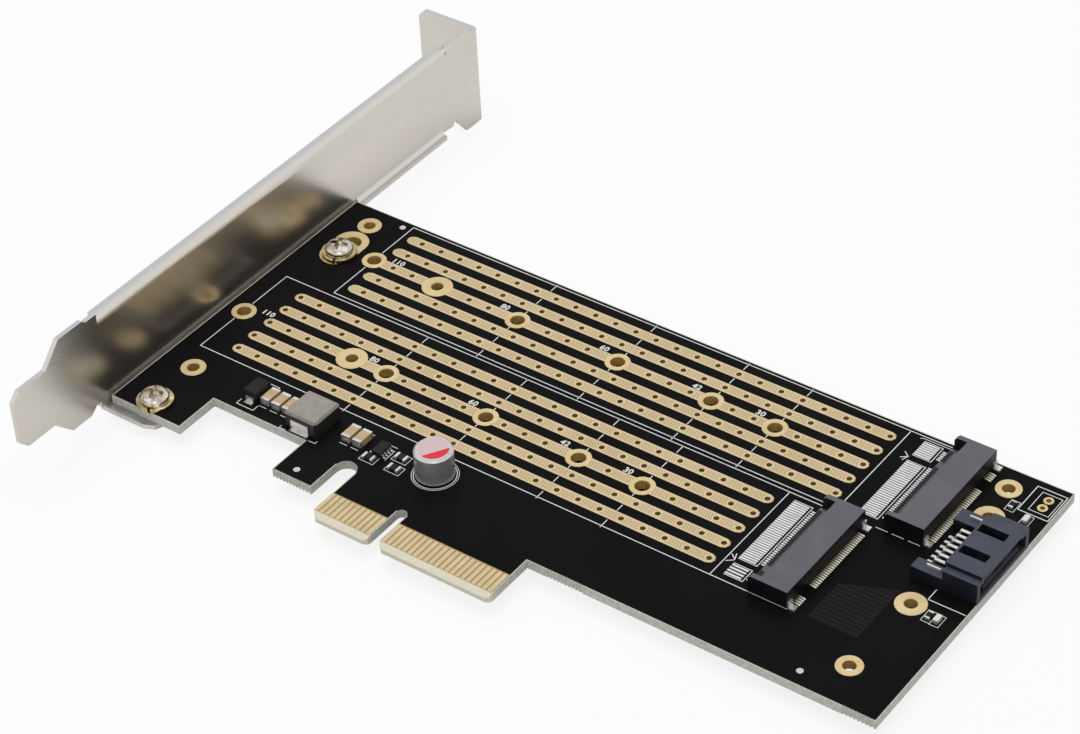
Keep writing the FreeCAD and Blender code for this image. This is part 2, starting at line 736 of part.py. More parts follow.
def make_bracket():
    """One folded sheet: face plate, tongue, top tab with its screw slot, two stiffening lips, two lugs."""
    body = new_body("BracketBody")
    base = "-bracket_base"
    high = "bracket_width - bracket_base"
    bend = "(bend_inner + sheet)"
    high_bend = "lip_top - " + bend
    low_bend = bend + " - low_lip_under"
    plate = sketch_on(body, "PlateOutline", "YZ_Plane", "-face_left")
    notch = "bracket_top_end - ear_start"
    outline(plate, [
        ("-bracket_low_end", "tongue_low + tongue_corner"),
        ("-bracket_low_end + tongue_corner", "tongue_low"),
        ("-tongue_end", "tongue_low"),
        ("-tongue_root", base),
        ("low_relief_start - low_relief_slope", base),
        ("low_relief_start", "-low_relief"),
        ("low_relief_end", "-low_relief"),
        ("low_relief_end", base),
        ("low_lip_start", base),
        ("low_lip_start", low_bend),
        ("low_lip_end", low_bend),
        ("low_lip_end + sheet / 2", "-ear_foot_deep"),
        (notch + " - ear_step", "-ear_step_deep"),
        (notch + " - ear_notch_start", "-ear_notch_deep"),
        (notch + " - ear_notch_end", "-ear_notch_deep"),
        (notch, "-ear_root"),
        ("bracket_top_end - ear_end", "-top_tab_low"),
        ("bracket_top_end", "-top_tab_low"),
        ("bracket_top_end", "top_tab_high"),
        ("bracket_top_end - crown_flat", "top_tab_high"),
        ("bracket_top_end - crown_slope", "lip_top + shoulder_over"),
        ("lip_end", "lip_top + shoulder_over"),
        ("lip_end", high_bend),
        ("lip_start", high_bend),
        ("lip_start", "lip_top + shoulder_over"),
        ("lip_start - shoulder_back", "lip_top + shoulder_over"),
        ("lip_start - shoulder_back - shoulder_rise", high),
        ("-tongue_root", high),
        ("-tongue_end", "tongue_high"),
        ("-bracket_low_end + tongue_corner", "tongue_high"),
        ("-bracket_low_end", "tongue_high - tongue_corner"),
    ])
    pad(body, "Plate", plate, "sheet", reverse=True)

    inner = "-face_left"
    lip = sketch_on(body, "LipSection", "XZ_Plane", "-lip_start")
    quarter(lip, inner + " - " + bend, high_bend, 0, bend, "bend_inner")
    pad(body, "Lip", lip, "lip_end - lip_start", reverse=True)

    low = sketch_on(body, "LowLipSection", "XZ_Plane", "-low_lip_start")
    quarter(low, inner + " + bend_inner", low_bend, 180, bend, "bend_inner")
    pad(body, "LowLip", low, "low_lip_end - low_lip_start", reverse=True)

    tab = sketch_on(body, "TopTabOutline", "XZ_Plane", "sheet - bracket_top_end")
    outer = inner + " - top_tab_reach"
    outline(tab, [(inner, "-top_tab_low"),
                  (outer + " + top_tab_cut_low", "-top_tab_low"),
                  (outer, "-top_tab_low + top_tab_cut_low"),
                  (outer, "top_tab_high - top_tab_cut_high"),
                  (outer + " + top_tab_cut_high", "top_tab_high"),
                  (inner, "top_tab_high")])
    pad(body, "TopTab", tab, "sheet", reverse=True)

    slot = sketch_on(body, "ScrewSlotOutline", "XZ_Plane", "sheet - bracket_top_end")
    middle = inner + " - screw_slot_reach"
    half = "screw_slot / 2"
    end = "screw_slot_deep - screw_slot / 2 - top_tab_low"
    outline(slot, [(middle + " - " + half, "-top_tab_low - sheet"),
                   (middle + " + " + half, "-top_tab_low - sheet"),
                   (middle + " + " + half, end),
                   (middle + " - " + half, end)])
    pocket(body, "ScrewSlot", slot, "4 * sheet", both=True)
    cap = sketch_on(body, "ScrewSlotEnd", "XZ_Plane", "sheet - bracket_top_end")
    ring(cap, middle, end, half)
    pocket(body, "ScrewSlotRound", cap, "4 * sheet", both=True)

    collars = []
    bores = []
    for name, spot in (("Near", "screw_near"), ("Far", "screw_far")):
        lug = sketch_on(body, name + "LugOutline", "XY_Plane", "-board_thick - sheet")
        left = inner + " - sheet"
        tip = inner + " + lug_reach"
        outline(lug, [(left, spot + " - lug_width / 2"),
                      (tip + " - lug_corner", spot + " - lug_width / 2"),
                      (tip + " - lug_corner_cut", spot + " - lug_width / 2 + lug_corner_cut"),
                      (tip, spot + " - lug_width / 2 + lug_corner"),
                      (tip, spot + " + lug_width / 2 - lug_corner"),
                      (tip + " - lug_corner_cut", spot + " + lug_width / 2 - lug_corner_cut"),
                      (tip + " - lug_corner", spot + " + lug_width / 2"),
                      (left, spot + " + lug_width / 2")])
        pad(body, name + "Lug", lug, "sheet")
        web = sketch_on(body, name + "LugWeb", "YZ_Plane", "-face_left")
        outline(web, [(spot + " - lug_width / 2", "-board_thick - sheet"),
                      (spot + " + lug_width / 2", "-board_thick - sheet"),
                      (spot + " + lug_width / 2", base + " + sheet"),
                      (spot + " - lug_width / 2", base + " + sheet")])
        pad(body, name + "Web", web, "sheet", reverse=True)
        collars.append(peg(name + "Collar", "collar_radius", "collar_height + sheet / 2",
                           "-screw_line", spot, "-board_thick - sheet - collar_height"))
        bores.append(peg(name + "LugBore", "shank_radius + pad_clear", "4 * (sheet + collar_height)",
                         "-screw_line", spot, "-board_thick - 3 * (sheet + collar_height)"))

    face = -size("face_left")
    top_end = size("bracket_top_end")
    round_edges(body, "TopBend", "top_bend",
                lambda p: near(p.x, face) and near(p.y, top_end),
                FreeCAD.Vector(0, 0, 1))
    folded = fuse("FoldedSheet", [body] + collars)
    return node(cut("Bracket", folded, fuse("LugBores", bores)), "mounting_bracket")


# ---------------------------------------------------------------- bracket screws

def make_screws():
    """Two pan head screws with a crossed recess, each on a split spring washer."""
    heads = []
    washers = []
    for i, (spot, ground) in enumerate((("screw_near", "0"), ("screw_far", "ring_thick"))):
        seat = ground + " + washer_thick"
        shank = peg("Shank%d" % i, "shank_radius", "shank_length + %s" % seat, "-screw_line", spot,
                    "-shank_length")
        rim = peg("HeadRim%d" % i, "head_radius", "head_height - head_dome", "-screw_line", spot, seat)
        crown = peg("HeadCrown%d" % i, "head_radius - head_dome", "head_dome", "-screw_line", spot,
                    seat + " + head_height - head_dome")
        solid = fuse("ScrewSolid%d" % i, [shank, rim, crown])
        top = seat + " + head_height - recess_deep"
        cross = [block("CrossA%d" % i, "recess_long", "recess_wide", "2 * recess_deep",
                       "-screw_line - recess_long / 2", spot + " - recess_wide / 2", top),
                 block("CrossB%d" % i, "recess_wide", "recess_long", "2 * recess_deep",
                       "-screw_line - recess_wide / 2", spot + " - recess_long / 2", top)]
        heads.append(cut("Screw%d" % i, solid, fuse("Cross%d" % i, cross)))
        turn = make_ring("Washer%dRing" % i, "-screw_line", spot, "washer_outer", "washer_inner",
                         "washer_thick", ground)
        split = block("Split%d" % i, "washer_outer", "washer_split", "3 * washer_thick",
                      "-screw_line", "%s - washer_split / 2" % spot, "-washer_thick")
        washers.append(cut("Washer%d" % i, turn, split))
    node(group("Screws", heads), "bracket_screws")
    node(group("Washers", washers), "spring_washers")


# ---------------------------------------------------------------- M.2 sockets

def make_m2_housing(prefix, label, line, axis, key):
    """Moulded housing open towards the bracket, with the key rib standing in its slot."""
    body = new_body(prefix + "Housing")
    front = line + " - m2_front"
    back = line + " + m2_back"
    card = CARD_HALF
    rise = sketch_on(body, prefix + "Side", "XZ_Plane", "-(%s)" % axis)
    outline(rise, [(front, "0"), (back, "0"), (back, "m2_height"), (front + " + m2_nose", "m2_height"),
                   (front, "m2_height - m2_nose")])
    pad(body, prefix + "Block", rise, "2 * " + SOCKET_HALF, both=True)

    hood = sketch_on(body, prefix + "Mouth", "XZ_Plane", "-(%s)" % axis)
    outline(hood, [(front + " - 1", "m2_apron_high"),
                   (front + " + m2_sill_start", "m2_apron_high"),
                   (front + " + m2_sill_end", "m2_sill"), (front + " + m2_hood", "m2_sill"),
                   (front + " + m2_hood", "m2_height + 1"), (front + " - 1", "m2_height + 1")])
    pocket(body, prefix + "MouthCut", hood, "2 * " + card, both=True)

    apron = sketch_on(body, prefix + "Apron", "XZ_Plane", "-(%s)" % axis)
    outline(apron, [(front + " - m2_apron", "0"), (front + " + 1", "0"), (front + " + 1", "m2_apron_high"),
                    (front + " - m2_apron", "m2_apron_high")])
    pad(body, prefix + "ApronPad", apron, "2 * " + card, both=True)

    slot = sketch_on(body, prefix + "SlotEnds", "YZ_Plane", front)
    for low, high in (("%s - %s" % (axis, card), "%s - m2_key_width / 2" % key),
                      ("%s + m2_key_width / 2" % key, "%s + %s" % (axis, card))):
        outline(slot, [(low, "m2_sill"), (high, "m2_sill"), (high, "m2_slot_high"), (low, "m2_slot_high")])
    pocket(body, prefix + "SlotCut", slot, "m2_slot_deep", reverse=True)
    return node(body, label)


def make_m2_row(prefix, label, section, start, count, second_start, second_count):
    """One row of contacts, broken at the key."""
    body = new_body(prefix)
    for part, first, number in (("A", start, count), ("B", second_start, second_count)):
        flat = sketch_on(body, "%sSection%s" % (prefix, part), "XZ_Plane", "-(%s)" % first)
        outline(flat, section)
        one = pad(body, "%sPin%s" % (prefix, part), flat, "m2_pin", both=True)
        row_of(body, "%sRow%s" % (prefix, part), one, "Y_Axis", str(number), "m2_pitch")
    return node(body, label)


def make_m2_socket(prefix, word, line, axis, key_place, groups):
    """One socket: housing, its two rows of contacts and the two soldered clips that hold it down."""
    key = "(%s - %s + %s * m2_pitch)" % (axis, ROW_HALF, key_place)
    make_m2_housing(prefix, word + "_socket_housing", line, axis, key)
    back = line + " + m2_back"
    front = line + " - m2_front - m2_apron"
    heel = [(back, "0"), (back + " + m2_foot", "0"), (back + " + m2_foot", "m2_pin_thick"),
            (back + " + m2_pin_thick + m2_heel_slope", "m2_pin_thick"),
            (back + " + m2_pin_thick", "m2_riser"),
            (back, "m2_riser")]
    toe = [(front, "0"), (front, "m2_toe_high"), (front + " - m2_toe", "m2_pin_thick"),
           (front + " - m2_toe", "0")]
    low_start, low_count, high_start, high_count = groups
    row = "%s - " + ROW_HALF + " + %d * m2_pitch"
    make_m2_row(prefix + "Heels", word + "_rear_contacts", heel,
                row % (axis, low_start), low_count, row % (axis, high_start), high_count)
    half_step = " + m2_pitch / 2"
    make_m2_row(prefix + "Toes", word + "_front_contacts", toe,
                row % (axis, low_start) + half_step, low_count - 1,
                row % (axis, high_start) + half_step, high_count - (0 if low_count < 10 else 1))
    clips = []
    for i, side in enumerate(("-", "+")):
        low = "%s %s %s" % (axis, side, SOCKET_HALF) + (" - m2_clip_width" if side == "+" else "")
        foot = block("%sClipFoot%d" % (prefix, i), "m2_foot", "m2_clip_width", "2 * m2_pin_thick",
                     back, low, "0")
        riser = block("%sClipRise%d" % (prefix, i), "2 * m2_pin_thick", "m2_clip_width", "m2_clip_high",
                      back, low, "0")
        clips.append(fuse("%sClip%d" % (prefix, i), [foot, riser]))
    node(group(prefix + "Clips", clips), word + "_hold_downs")


# ---------------------------------------------------------------- data socket

def make_sata():
    body = new_body("SataHousing")
    low = "sata_axis - sata_width / 2"
    high = "sata_axis + sata_width / 2"
    base = sketch_on(body, "SataBase", "XY_Plane")
    outline(base, [("sata_rear", low), ("sata_front", low), ("sata_front", high), ("sata_rear", high)])
    pad(body, "SataBlock", base, "sata_arm_high")
    box = sketch_on(body, "SataShroud", "XY_Plane")
    outline(box, [("sata_step", low), ("sata_front", low), ("sata_front", high), ("sata_step", high)])
    pad(body, "SataShroudPad", box, "sata_shoulder")
    roof = sketch_on(body, "SataRoofOutline", "XY_Plane")
    roof_low = low + " + sata_roof_near"
    roof_high = high + " - sata_roof_far"
    wall = "sata_step - sata_roof_back"
    outline(roof, [(wall, roof_low), ("sata_front", roof_low), ("sata_front", roof_high),
                   (wall, roof_high)])
    pad(body, "SataRoof", roof, "sata_roof")
    yard = sketch_on(body, "SataYard", "XY_Plane")
    outline(yard, [("sata_rear - 1", low + " + sata_arm_near"), (wall, low + " + sata_arm_near"),
                   (wall, high + " - sata_arm_far"), ("sata_rear - 1", high + " - sata_arm_far")])
    pocket(body, "SataYardCut", yard, "sata_roof", reverse=True)
    cavity = sketch_on(body, "SataCavity", "YZ_Plane", "sata_front")
    ledge = "sata_shoulder - sata_shoulder_wall"
    outline(cavity, [(low + " + sata_wall", "sata_floor"), (high + " - sata_wall", "sata_floor"),
                     (high + " - sata_wall", ledge),
                     (roof_high + " - sata_roof_wall", ledge),
                     (roof_high + " - sata_roof_wall", "sata_ceiling"),
                     (roof_low + " + sata_roof_wall", "sata_ceiling"),
                     (roof_low + " + sata_roof_wall", ledge),
                     (low + " + sata_wall", ledge)])
    pocket(body, "SataCavityCut", cavity, "sata_cavity")
    windows = sketch_on(body, "SataWindows", "XY_Plane", "sata_ceiling")
    for side in ("-", "+"):
        middle = "sata_window_mid %s sata_window_off" % side
        outline(windows, [
            ("sata_front - sata_window_edge - sata_window_long", middle + " - sata_window_wide / 2"),
            ("sata_front - sata_window_edge", middle + " - sata_window_wide / 2"),
            ("sata_front - sata_window_edge", middle + " + sata_window_wide / 2"),
            ("sata_front - sata_window_edge - sata_window_long", middle + " + sata_window_wide / 2")])
    pocket(body, "SataWindowCuts", windows, "sata_roof", both=True)
    blade = sketch_on(body, "BladeSection", "YZ_Plane", "sata_front - sata_cavity")
    outline(blade, [("sata_axis - blade_width / 2", "sata_floor"),
                    ("sata_axis - blade_width / 2 + blade_leg", "sata_floor"),
                    ("sata_axis - blade_width / 2 + blade_leg", "blade_low"),
                    ("sata_axis + blade_width / 2", "blade_low"),
                    ("sata_axis + blade_width / 2", "blade_high"),
                    ("sata_axis - blade_width / 2", "blade_high")])
    pad(body, "Blade", blade, "blade_reach")
    node(body, "sata_socket_housing")

    pins = new_body("SataPins")
    tip = wall + " - sata_pin_back"
    heel = tip + " + sata_pin_foot"
    shape = sketch_on(pins, "SataPinSection", "XZ_Plane", "3 * sata_pitch - sata_pin_mid")
    outline(shape, [
        (tip, "0"), (heel + " + sata_pin_thick", "0"),
        (heel + " + sata_pin_rise", "sata_pin_high"), (wall, "sata_pin_high"),
        (wall, "sata_pin_high + sata_pin_thick"),
        (heel + " + sata_pin_rise - sata_pin_thick", "sata_pin_high + sata_pin_thick"),
        (heel, "sata_pin_thick"), (tip, "sata_pin_thick")])
    one = pad(pins, "SataPin", shape, "sata_pin", both=True)
    row_of(pins, "SataPinRow", one, "Y_Axis", "7", "sata_pitch")
    node(pins, "sata_contacts")

    pegs = []
    for i, side in enumerate((low + " + peg_in", high + " - peg_in - peg_thick")):
        pegs.append(block("Peg%d" % i, "peg_long", "peg_thick", "peg_high", "sata_rear + peg_start", side,
                          "sata_arm_high"))
    node(group("Pegs", pegs), "sata_pegs")


# ---------------------------------------------------------------- small parts

def make_capacitor():
    """Can with a rounded shoulder on its rubber bung, and the two soldered lead ends behind the board."""
    body = new_body("CanBody")
    profile = sketch_on(body, "CanProfile", "XZ_Plane", "-can_y")
    rim = "-can_x + can_radius"
    outline(profile, [("-can_x", "bung_height"), (rim, "bung_height"), (rim, "can_height - can_edge"),
                      (rim + " - can_edge", "can_height"), ("-can_x", "can_height")])
    revolve(body, "CanTurn", profile, "Edge5")
    node(body, "capacitor_can")
    node(peg("Bung", "bung_radius", "bung_height", "-can_x", "can_y", "0"), "capacitor_bung")
    leads = []
    for i, side in enumerate(("-", "+")):
        x = "-can_x %s lead_span / 2" % side
        lead = peg("Lead%d" % i, "lead_radius", "board_thick + solder_height + lead_stub", x, "can_y",
                   "-board_thick - solder_height - lead_stub", "small_sides")
        joint = peg("Solder%d" % i, "solder_radius", "solder_height", x, "can_y",
                    "-board_thick - solder_height", "small_sides")
        leads.append(fuse("LeadJoint%d" % i, [lead, joint]))
    node(group("Leads", leads), "capacitor_leads")


def make_choke():
    half = "choke_side / 2"
    core = block("ChokeBlock", "choke_side", "choke_side", "choke_high", "-choke_x - " + half,
                 "choke_y - " + half, "0")
    doc.recompute()
    soft = doc.addObject("Part::Chamfer", "ChokeCore")
    soft.Base = core
    corner = size("choke_edge")
    tall = size("choke_high")
    names = edges_where(core.Shape, lambda p: p.z >= -1)
    keep = [int(name[4:]) for name in names
            if not near(core.Shape.Edges[int(name[4:]) - 1].CenterOfMass.z, 0)]
    soft.Edges = [(index, corner, corner) for index in keep if tall]
    node(soft, "choke_core")
    straps = []
    for i, side in enumerate((-1, 1)):
        face = "choke_y %s %s" % ("-" if side < 0 else "+", half)
        low = face + (" - strap_thick" if side < 0 else "")
        wall = block("StrapWall%d" % i, "strap_wide", "strap_thick", "strap_high",
                     "-choke_x - strap_wide / 2", low, "0")
        foot_low = face + (" - strap_foot" if side < 0 else "")
        foot = block("StrapFoot%d" % i, "strap_wide", "strap_foot", "strap_thick",
                     "-choke_x - strap_wide / 2", foot_low, "0")
        straps.append(fuse("Strap%d" % i, [wall, foot]))
    node(group("Straps", straps), "choke_terminals")


def make_diode():
    low = doc.addObject("Part::Wedge", "DiodeLow")
    high = doc.addObject("Part::Wedge", "DiodeHigh")
    for item, bottom, top, inset_low, inset_high in (
            (low, "0.1", "diode_waist", "diode_draft", "0"),
            (high, "diode_waist", "diode_high", "0", "diode_draft")):
        for word, text in (("Xmin", inset_low), ("Xmax", "diode_wide - " + inset_low),
                           ("Zmin", inset_low), ("Zmax", "diode_long - " + inset_low),
                           ("X2min", inset_high), ("X2max", "diode_wide - " + inset_high),
                           ("Z2min", inset_high), ("Z2max", "diode_long - " + inset_high),
                           ("Ymin", bottom), ("Ymax", top)):
            item.setExpression(word, formula(text))
        item.Placement.Rotation = FreeCAD.Rotation(FreeCAD.Vector(1, 0, 0), 90)
        place(item, "-diode_x - diode_wide / 2", "diode_y + diode_long / 2", "0")
    node(fuse("DiodeBody", [low, high]), "diode_body")
    leads = []
    for i, side in enumerate((-1, 1)):
        face = "diode_y %s diode_long / 2" % ("-" if side < 0 else "+")
        edge = "-diode_x - diode_lead / 2"
        wall = block("DiodeLead%d" % i, "diode_lead", "strap_thick", "diode_waist",
                     edge, face + (" - strap_thick" if side < 0 else ""), "0")
        foot = block("DiodeFoot%d" % i, "diode_lead", "diode_foot", "strap_thick",
                     edge, face + (" - diode_foot" if side < 0 else ""), "0")
        leads.append(fuse("DiodeLeg%d" % i, [wall, foot]))
    node(group("DiodeLeads", leads), "diode_leads")


def chip(name, x, y, long, wide, high, end, along_y=True):
    """Chip part: body and two metal ends, each a solid of its own."""
    middle = "%s - 2 * %s" % (long, end)
    if along_y:
        core = block(name + "Core", wide, middle, high, "%s - %s / 2" % (x, wide),
                     "%s - %s / 2 + %s" % (y, long, end), "0")
        ends = [block(name + "EndA", wide, end, high, "%s - %s / 2" % (x, wide),
                      "%s - %s / 2" % (y, long), "0"),
                block(name + "EndB", wide, end, high, "%s - %s / 2" % (x, wide),
                      "%s + %s / 2 - %s" % (y, long, end), "0")]
        return core, ends
    core = block(name + "Core", middle, wide, high, "%s - %s / 2 + %s" % (x, long, end),
                 "%s - %s / 2" % (y, wide), "0")
    ends = [block(name + "EndA", end, wide, high, "%s - %s / 2" % (x, long),
                  "%s - %s / 2" % (y, wide), "0"),
            block(name + "EndB", end, wide, high, "%s + %s / 2 - %s" % (x, long, end),
                  "%s - %s / 2" % (y, wide), "0")]
    return core, ends


def make_chips():
    cores = []
    ends = []
    spots = ["-chip_left_x + %d * chip_pitch" % i for i in range(3)]
    spots += ["-chip_right_x + %d * chip_pitch" % i for i in range(2)]
    for i, x in enumerate(spots):
        core, tips = chip("Ceramic%d" % i, x, "chip_y", "chip_long", "chip_wide", "chip_high", "chip_end")
        cores.append(core)
        ends += tips
    node(group("CeramicCores", cores), "ceramic_capacitors")
    node(group("CeramicEnds", ends), "ceramic_capacitor_ends")

    cores = []
    ends = []
    small = [("-divider_x", "divider_y", "small", False), ("-filter_x", "filter_y", "small", False),
             ("-pull_up_x", "pull_up_y", "small", False), ("series_high_x", "series_high_y", "tiny", True),
             ("series_low_x", "series_low_y", "tiny", True)]
    for i, (x, y, word, along) in enumerate(small):
        core, tips = chip("Resistor%d" % i, x, y, word + "_long", word + "_wide", word + "_high",
                          word + "_end", along)
        cores.append(core)
        ends += tips
    node(group("ResistorCores", cores), "chip_resistors")
    node(group("ResistorEnds", ends), "chip_resistor_ends")

    cores = []
    ends = []
    for i, (x, y) in enumerate((("lamp_x", "lamp_high_y"), ("lamp_x", "lamp_low_y"))):
        core, tips = chip("Lamp%d" % i, x, y, "tiny_long", "tiny_wide", "lamp_high", "tiny_end")
        cores.append(core)
        ends += tips
    node(group("LampCores", cores), "indicator_lamps")
    node(group("LampEnds", ends), "indicator_lamp_ends")


def make_regulator():
    node(block("RegulatorBlock", "chip8_wide", "chip8_long", "chip8_high - chip8_lift",
               "-chip8_x - chip8_wide / 2", "chip8_y - chip8_long / 2", "chip8_lift"), "regulator_body")
    body = new_body("RegulatorPins")
    for name, side in (("Left", -1), ("Right", 1)):
        sign = "-" if side < 0 else "+"
        face = "-chip8_x %s chip8_wide / 2" % sign
        flat = sketch_on(body, "Regulator" + name, "XZ_Plane", "1.5 * chip8_pitch - chip8_y")
        points = [(face, "chip8_shoulder - chip8_pin_thick"), (face, "chip8_shoulder"),
                  (face + " %s chip8_reach / 3" % sign, "chip8_shoulder"),
                  (face + " %s chip8_reach / 2" % sign, "chip8_pin_thick"),
                  (face + " %s chip8_reach" % sign, "chip8_pin_thick"),
                  (face + " %s chip8_reach" % sign, "0"),
                  (face + " %s (chip8_reach / 2 - chip8_pin_thick)" % sign, "0"),
                  (face + " %s (chip8_reach / 3 - chip8_pin_thick)" % sign,
                   "chip8_shoulder - chip8_pin_thick")]
        outline(flat, points)
        one = pad(body, "Regulator%sPin" % name, flat, "chip8_pin", both=True)
        row_of(body, "Regulator%sRow" % name, one, "Y_Axis", "4", "chip8_pitch")
    node(body, "regulator_leads")


make_board()
make_copper("M", "copper_strips_m", "-m_strip_left", "m_strip_right", "m_axis", "m_line")
make_copper("B", "copper_strips_b", "-b_strip_left", "b_strip_right", "b_axis", "b_line")
make_rings()
make_oval_ring()
make_contacts("Top", "edge_contacts_top", "0")
make_contacts("Low", "edge_contacts_back", "-board_thick - copper_thick")
make_bracket()
make_screws()
make_m2_socket("M", "m_key", "m_line", "m_axis", "m_key_place", M_KEY_GROUPS)
make_m2_socket("B", "b_key", "b_line", "b_axis", "b_key_place", B_KEY_GROUPS)
make_sata()
make_capacitor()
make_choke()
make_diode()
make_chips()
make_regulator()
doc.recompute()

for item in doc.Objects:
    if "Invalid" in item.State or "Error" in item.State:
        raise RuntimeError("%s failed: %s" % (item.Name, item.State))
for item in NODES:
    if item.Shape.isNull() or not item.Shape.isValid() or not item.Shape.Solids:
        raise RuntimeError(item.Label + " has no sound shape")

os.makedirs("parts", exist_ok=True)
for item in NODES:
    item.Shape.exportStep("parts/%s.step" % item.Label)
    print("%-26s %3d solids %10.2f mm3" % (item.Label, len(item.Shape.Solids), item.Shape.Volume))
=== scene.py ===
"""Looks of an adapter card: a black board with gold strips, two drive sockets and a folded bracket."""

import logging
import math
from dataclasses import dataclass, field
from enum import Enum
from functools import cached_property
from typing import Callable, Iterable, Optional, Sequence, Union

import bpy
from mathutils import Euler, Matrix, Vector


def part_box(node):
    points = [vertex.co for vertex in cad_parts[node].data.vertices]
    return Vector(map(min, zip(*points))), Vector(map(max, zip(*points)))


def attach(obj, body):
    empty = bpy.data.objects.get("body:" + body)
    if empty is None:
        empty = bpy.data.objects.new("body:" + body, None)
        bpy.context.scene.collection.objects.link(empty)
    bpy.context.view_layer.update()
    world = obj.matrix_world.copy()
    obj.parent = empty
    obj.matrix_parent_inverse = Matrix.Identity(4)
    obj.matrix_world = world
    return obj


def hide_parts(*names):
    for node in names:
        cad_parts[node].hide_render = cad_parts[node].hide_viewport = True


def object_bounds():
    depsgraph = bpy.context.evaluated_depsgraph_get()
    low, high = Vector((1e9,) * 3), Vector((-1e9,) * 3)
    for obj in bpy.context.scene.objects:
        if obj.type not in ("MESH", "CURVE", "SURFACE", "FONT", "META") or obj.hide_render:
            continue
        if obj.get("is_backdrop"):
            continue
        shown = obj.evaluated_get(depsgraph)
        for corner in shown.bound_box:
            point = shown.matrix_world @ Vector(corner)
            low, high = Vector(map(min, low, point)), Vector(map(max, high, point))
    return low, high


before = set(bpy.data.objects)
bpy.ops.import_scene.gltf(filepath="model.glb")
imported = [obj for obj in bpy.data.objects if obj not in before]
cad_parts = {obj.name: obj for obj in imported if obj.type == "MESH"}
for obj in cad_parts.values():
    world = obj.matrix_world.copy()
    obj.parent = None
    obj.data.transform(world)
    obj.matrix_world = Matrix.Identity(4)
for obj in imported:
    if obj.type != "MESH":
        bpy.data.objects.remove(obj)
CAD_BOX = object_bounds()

LOG = logging.getLogger("adapter_card")
MM = 0.001
WHITE = (1.0, 1.0, 1.0, 1.0)

Point = tuple[float, float]
Place = tuple[float, float, float]
Colour = tuple[float, float, float]
Piece = bpy.types.Object
Face = bpy.types.MeshPolygon
Material = bpy.types.Material
Node = bpy.types.Node
Socket = bpy.types.NodeSocket


# ---------------------------------------------------------------- places that several pieces share


@dataclass(frozen=True)
class DriveRow:
    """Where one drive lies: its socket's name, and its places along and across the board."""

    socket: str
    line: float
    axis: float
    key: float
    first_via: float
    last_via: float


@dataclass(frozen=True)
class Holes:
    """Plated holes of one kind: radii of drill, wall and pad, and the sides that each is drawn with."""

    places: tuple[Place, ...]
    drill: float
    wall: float
    inner: float
    outer: float
    drill_sides: int = 48
    wall_sides: int = 32
    pad_sides: int = 48


M_ROW = DriveRow("m_key", 57.0, 33.2, 27.075, -47.4, 44.7)
B_ROW = DriveRow("b_key", 66.5, 55.95, 61.575, -39.45, 52.65)
DRIVES = (M_ROW, B_ROW)
LENGTHS = (30, 42, 60, 80, 110)
STRIPS = (-8.0, -4.0, 0.0, 4.0, 8.0)

FIXINGS = Holes(tuple((row.line - length, row.axis, 0.0) for row in DRIVES for length in LENGTHS),
                1.31, 1.25, 1.24, 2.12)
CENTRES = Holes(tuple((-30.1, row.axis, 0.0) for row in DRIVES), 1.11, 1.05, 1.05, 2.65)
CORNERS = Holes(((-50.3, 63.25, 0.0), (-50.3, 17.3, 0.0), (73.9, 63.25, 0.0), (73.9, 17.3, 0.0)),
                1.11, 1.05, 1.05, 2.12)
SINKS = Holes(tuple((74.6, row.axis, 0.0) for row in DRIVES), 1.11, 1.05, 1.05, 2.5)
PINS = Holes(((80.3, 64.1, 0.0), (80.3, 62.15, 0.0)), 0.46, 0.41, 0.42, 0.85, 24, 20, 28)
HOLES = (FIXINGS, CENTRES, CORNERS, SINKS, PINS)
DOTS: tuple[Place, ...] = ((-45.2, 65.9, 0.0), (-20.0, 6.9, 0.0), (68.6, 12.5, 0.0))

BOARD_THICK = 1.6
NEAR_SCREW: Place = (-49.6, 7.25, 0.0)
SLOT_X = -49.75
SLOT_ENDS = (54.05, 57.8)
SLOT_RADIUS = 1.65


def round_ended(x: float, radius: float, steps: int) -> list[Point]:
    """Returns an outline along the long screw hole, with a half circle at each end.

    Args:
        x: its middle.
        radius: of its ends.
        steps: how many sides a half circle has.

    Returns:
        The outline's corners.
    """
    low, high = SLOT_ENDS
    turns = [math.pi * i / steps for i in range(steps + 1)]
    outline = [(x + radius * math.cos(t), high + radius * math.sin(t)) for t in turns]
    return outline + [(x - radius * math.cos(t), low - radius * math.sin(t)) for t in turns]


# ---------------------------------------------------------------- shader values


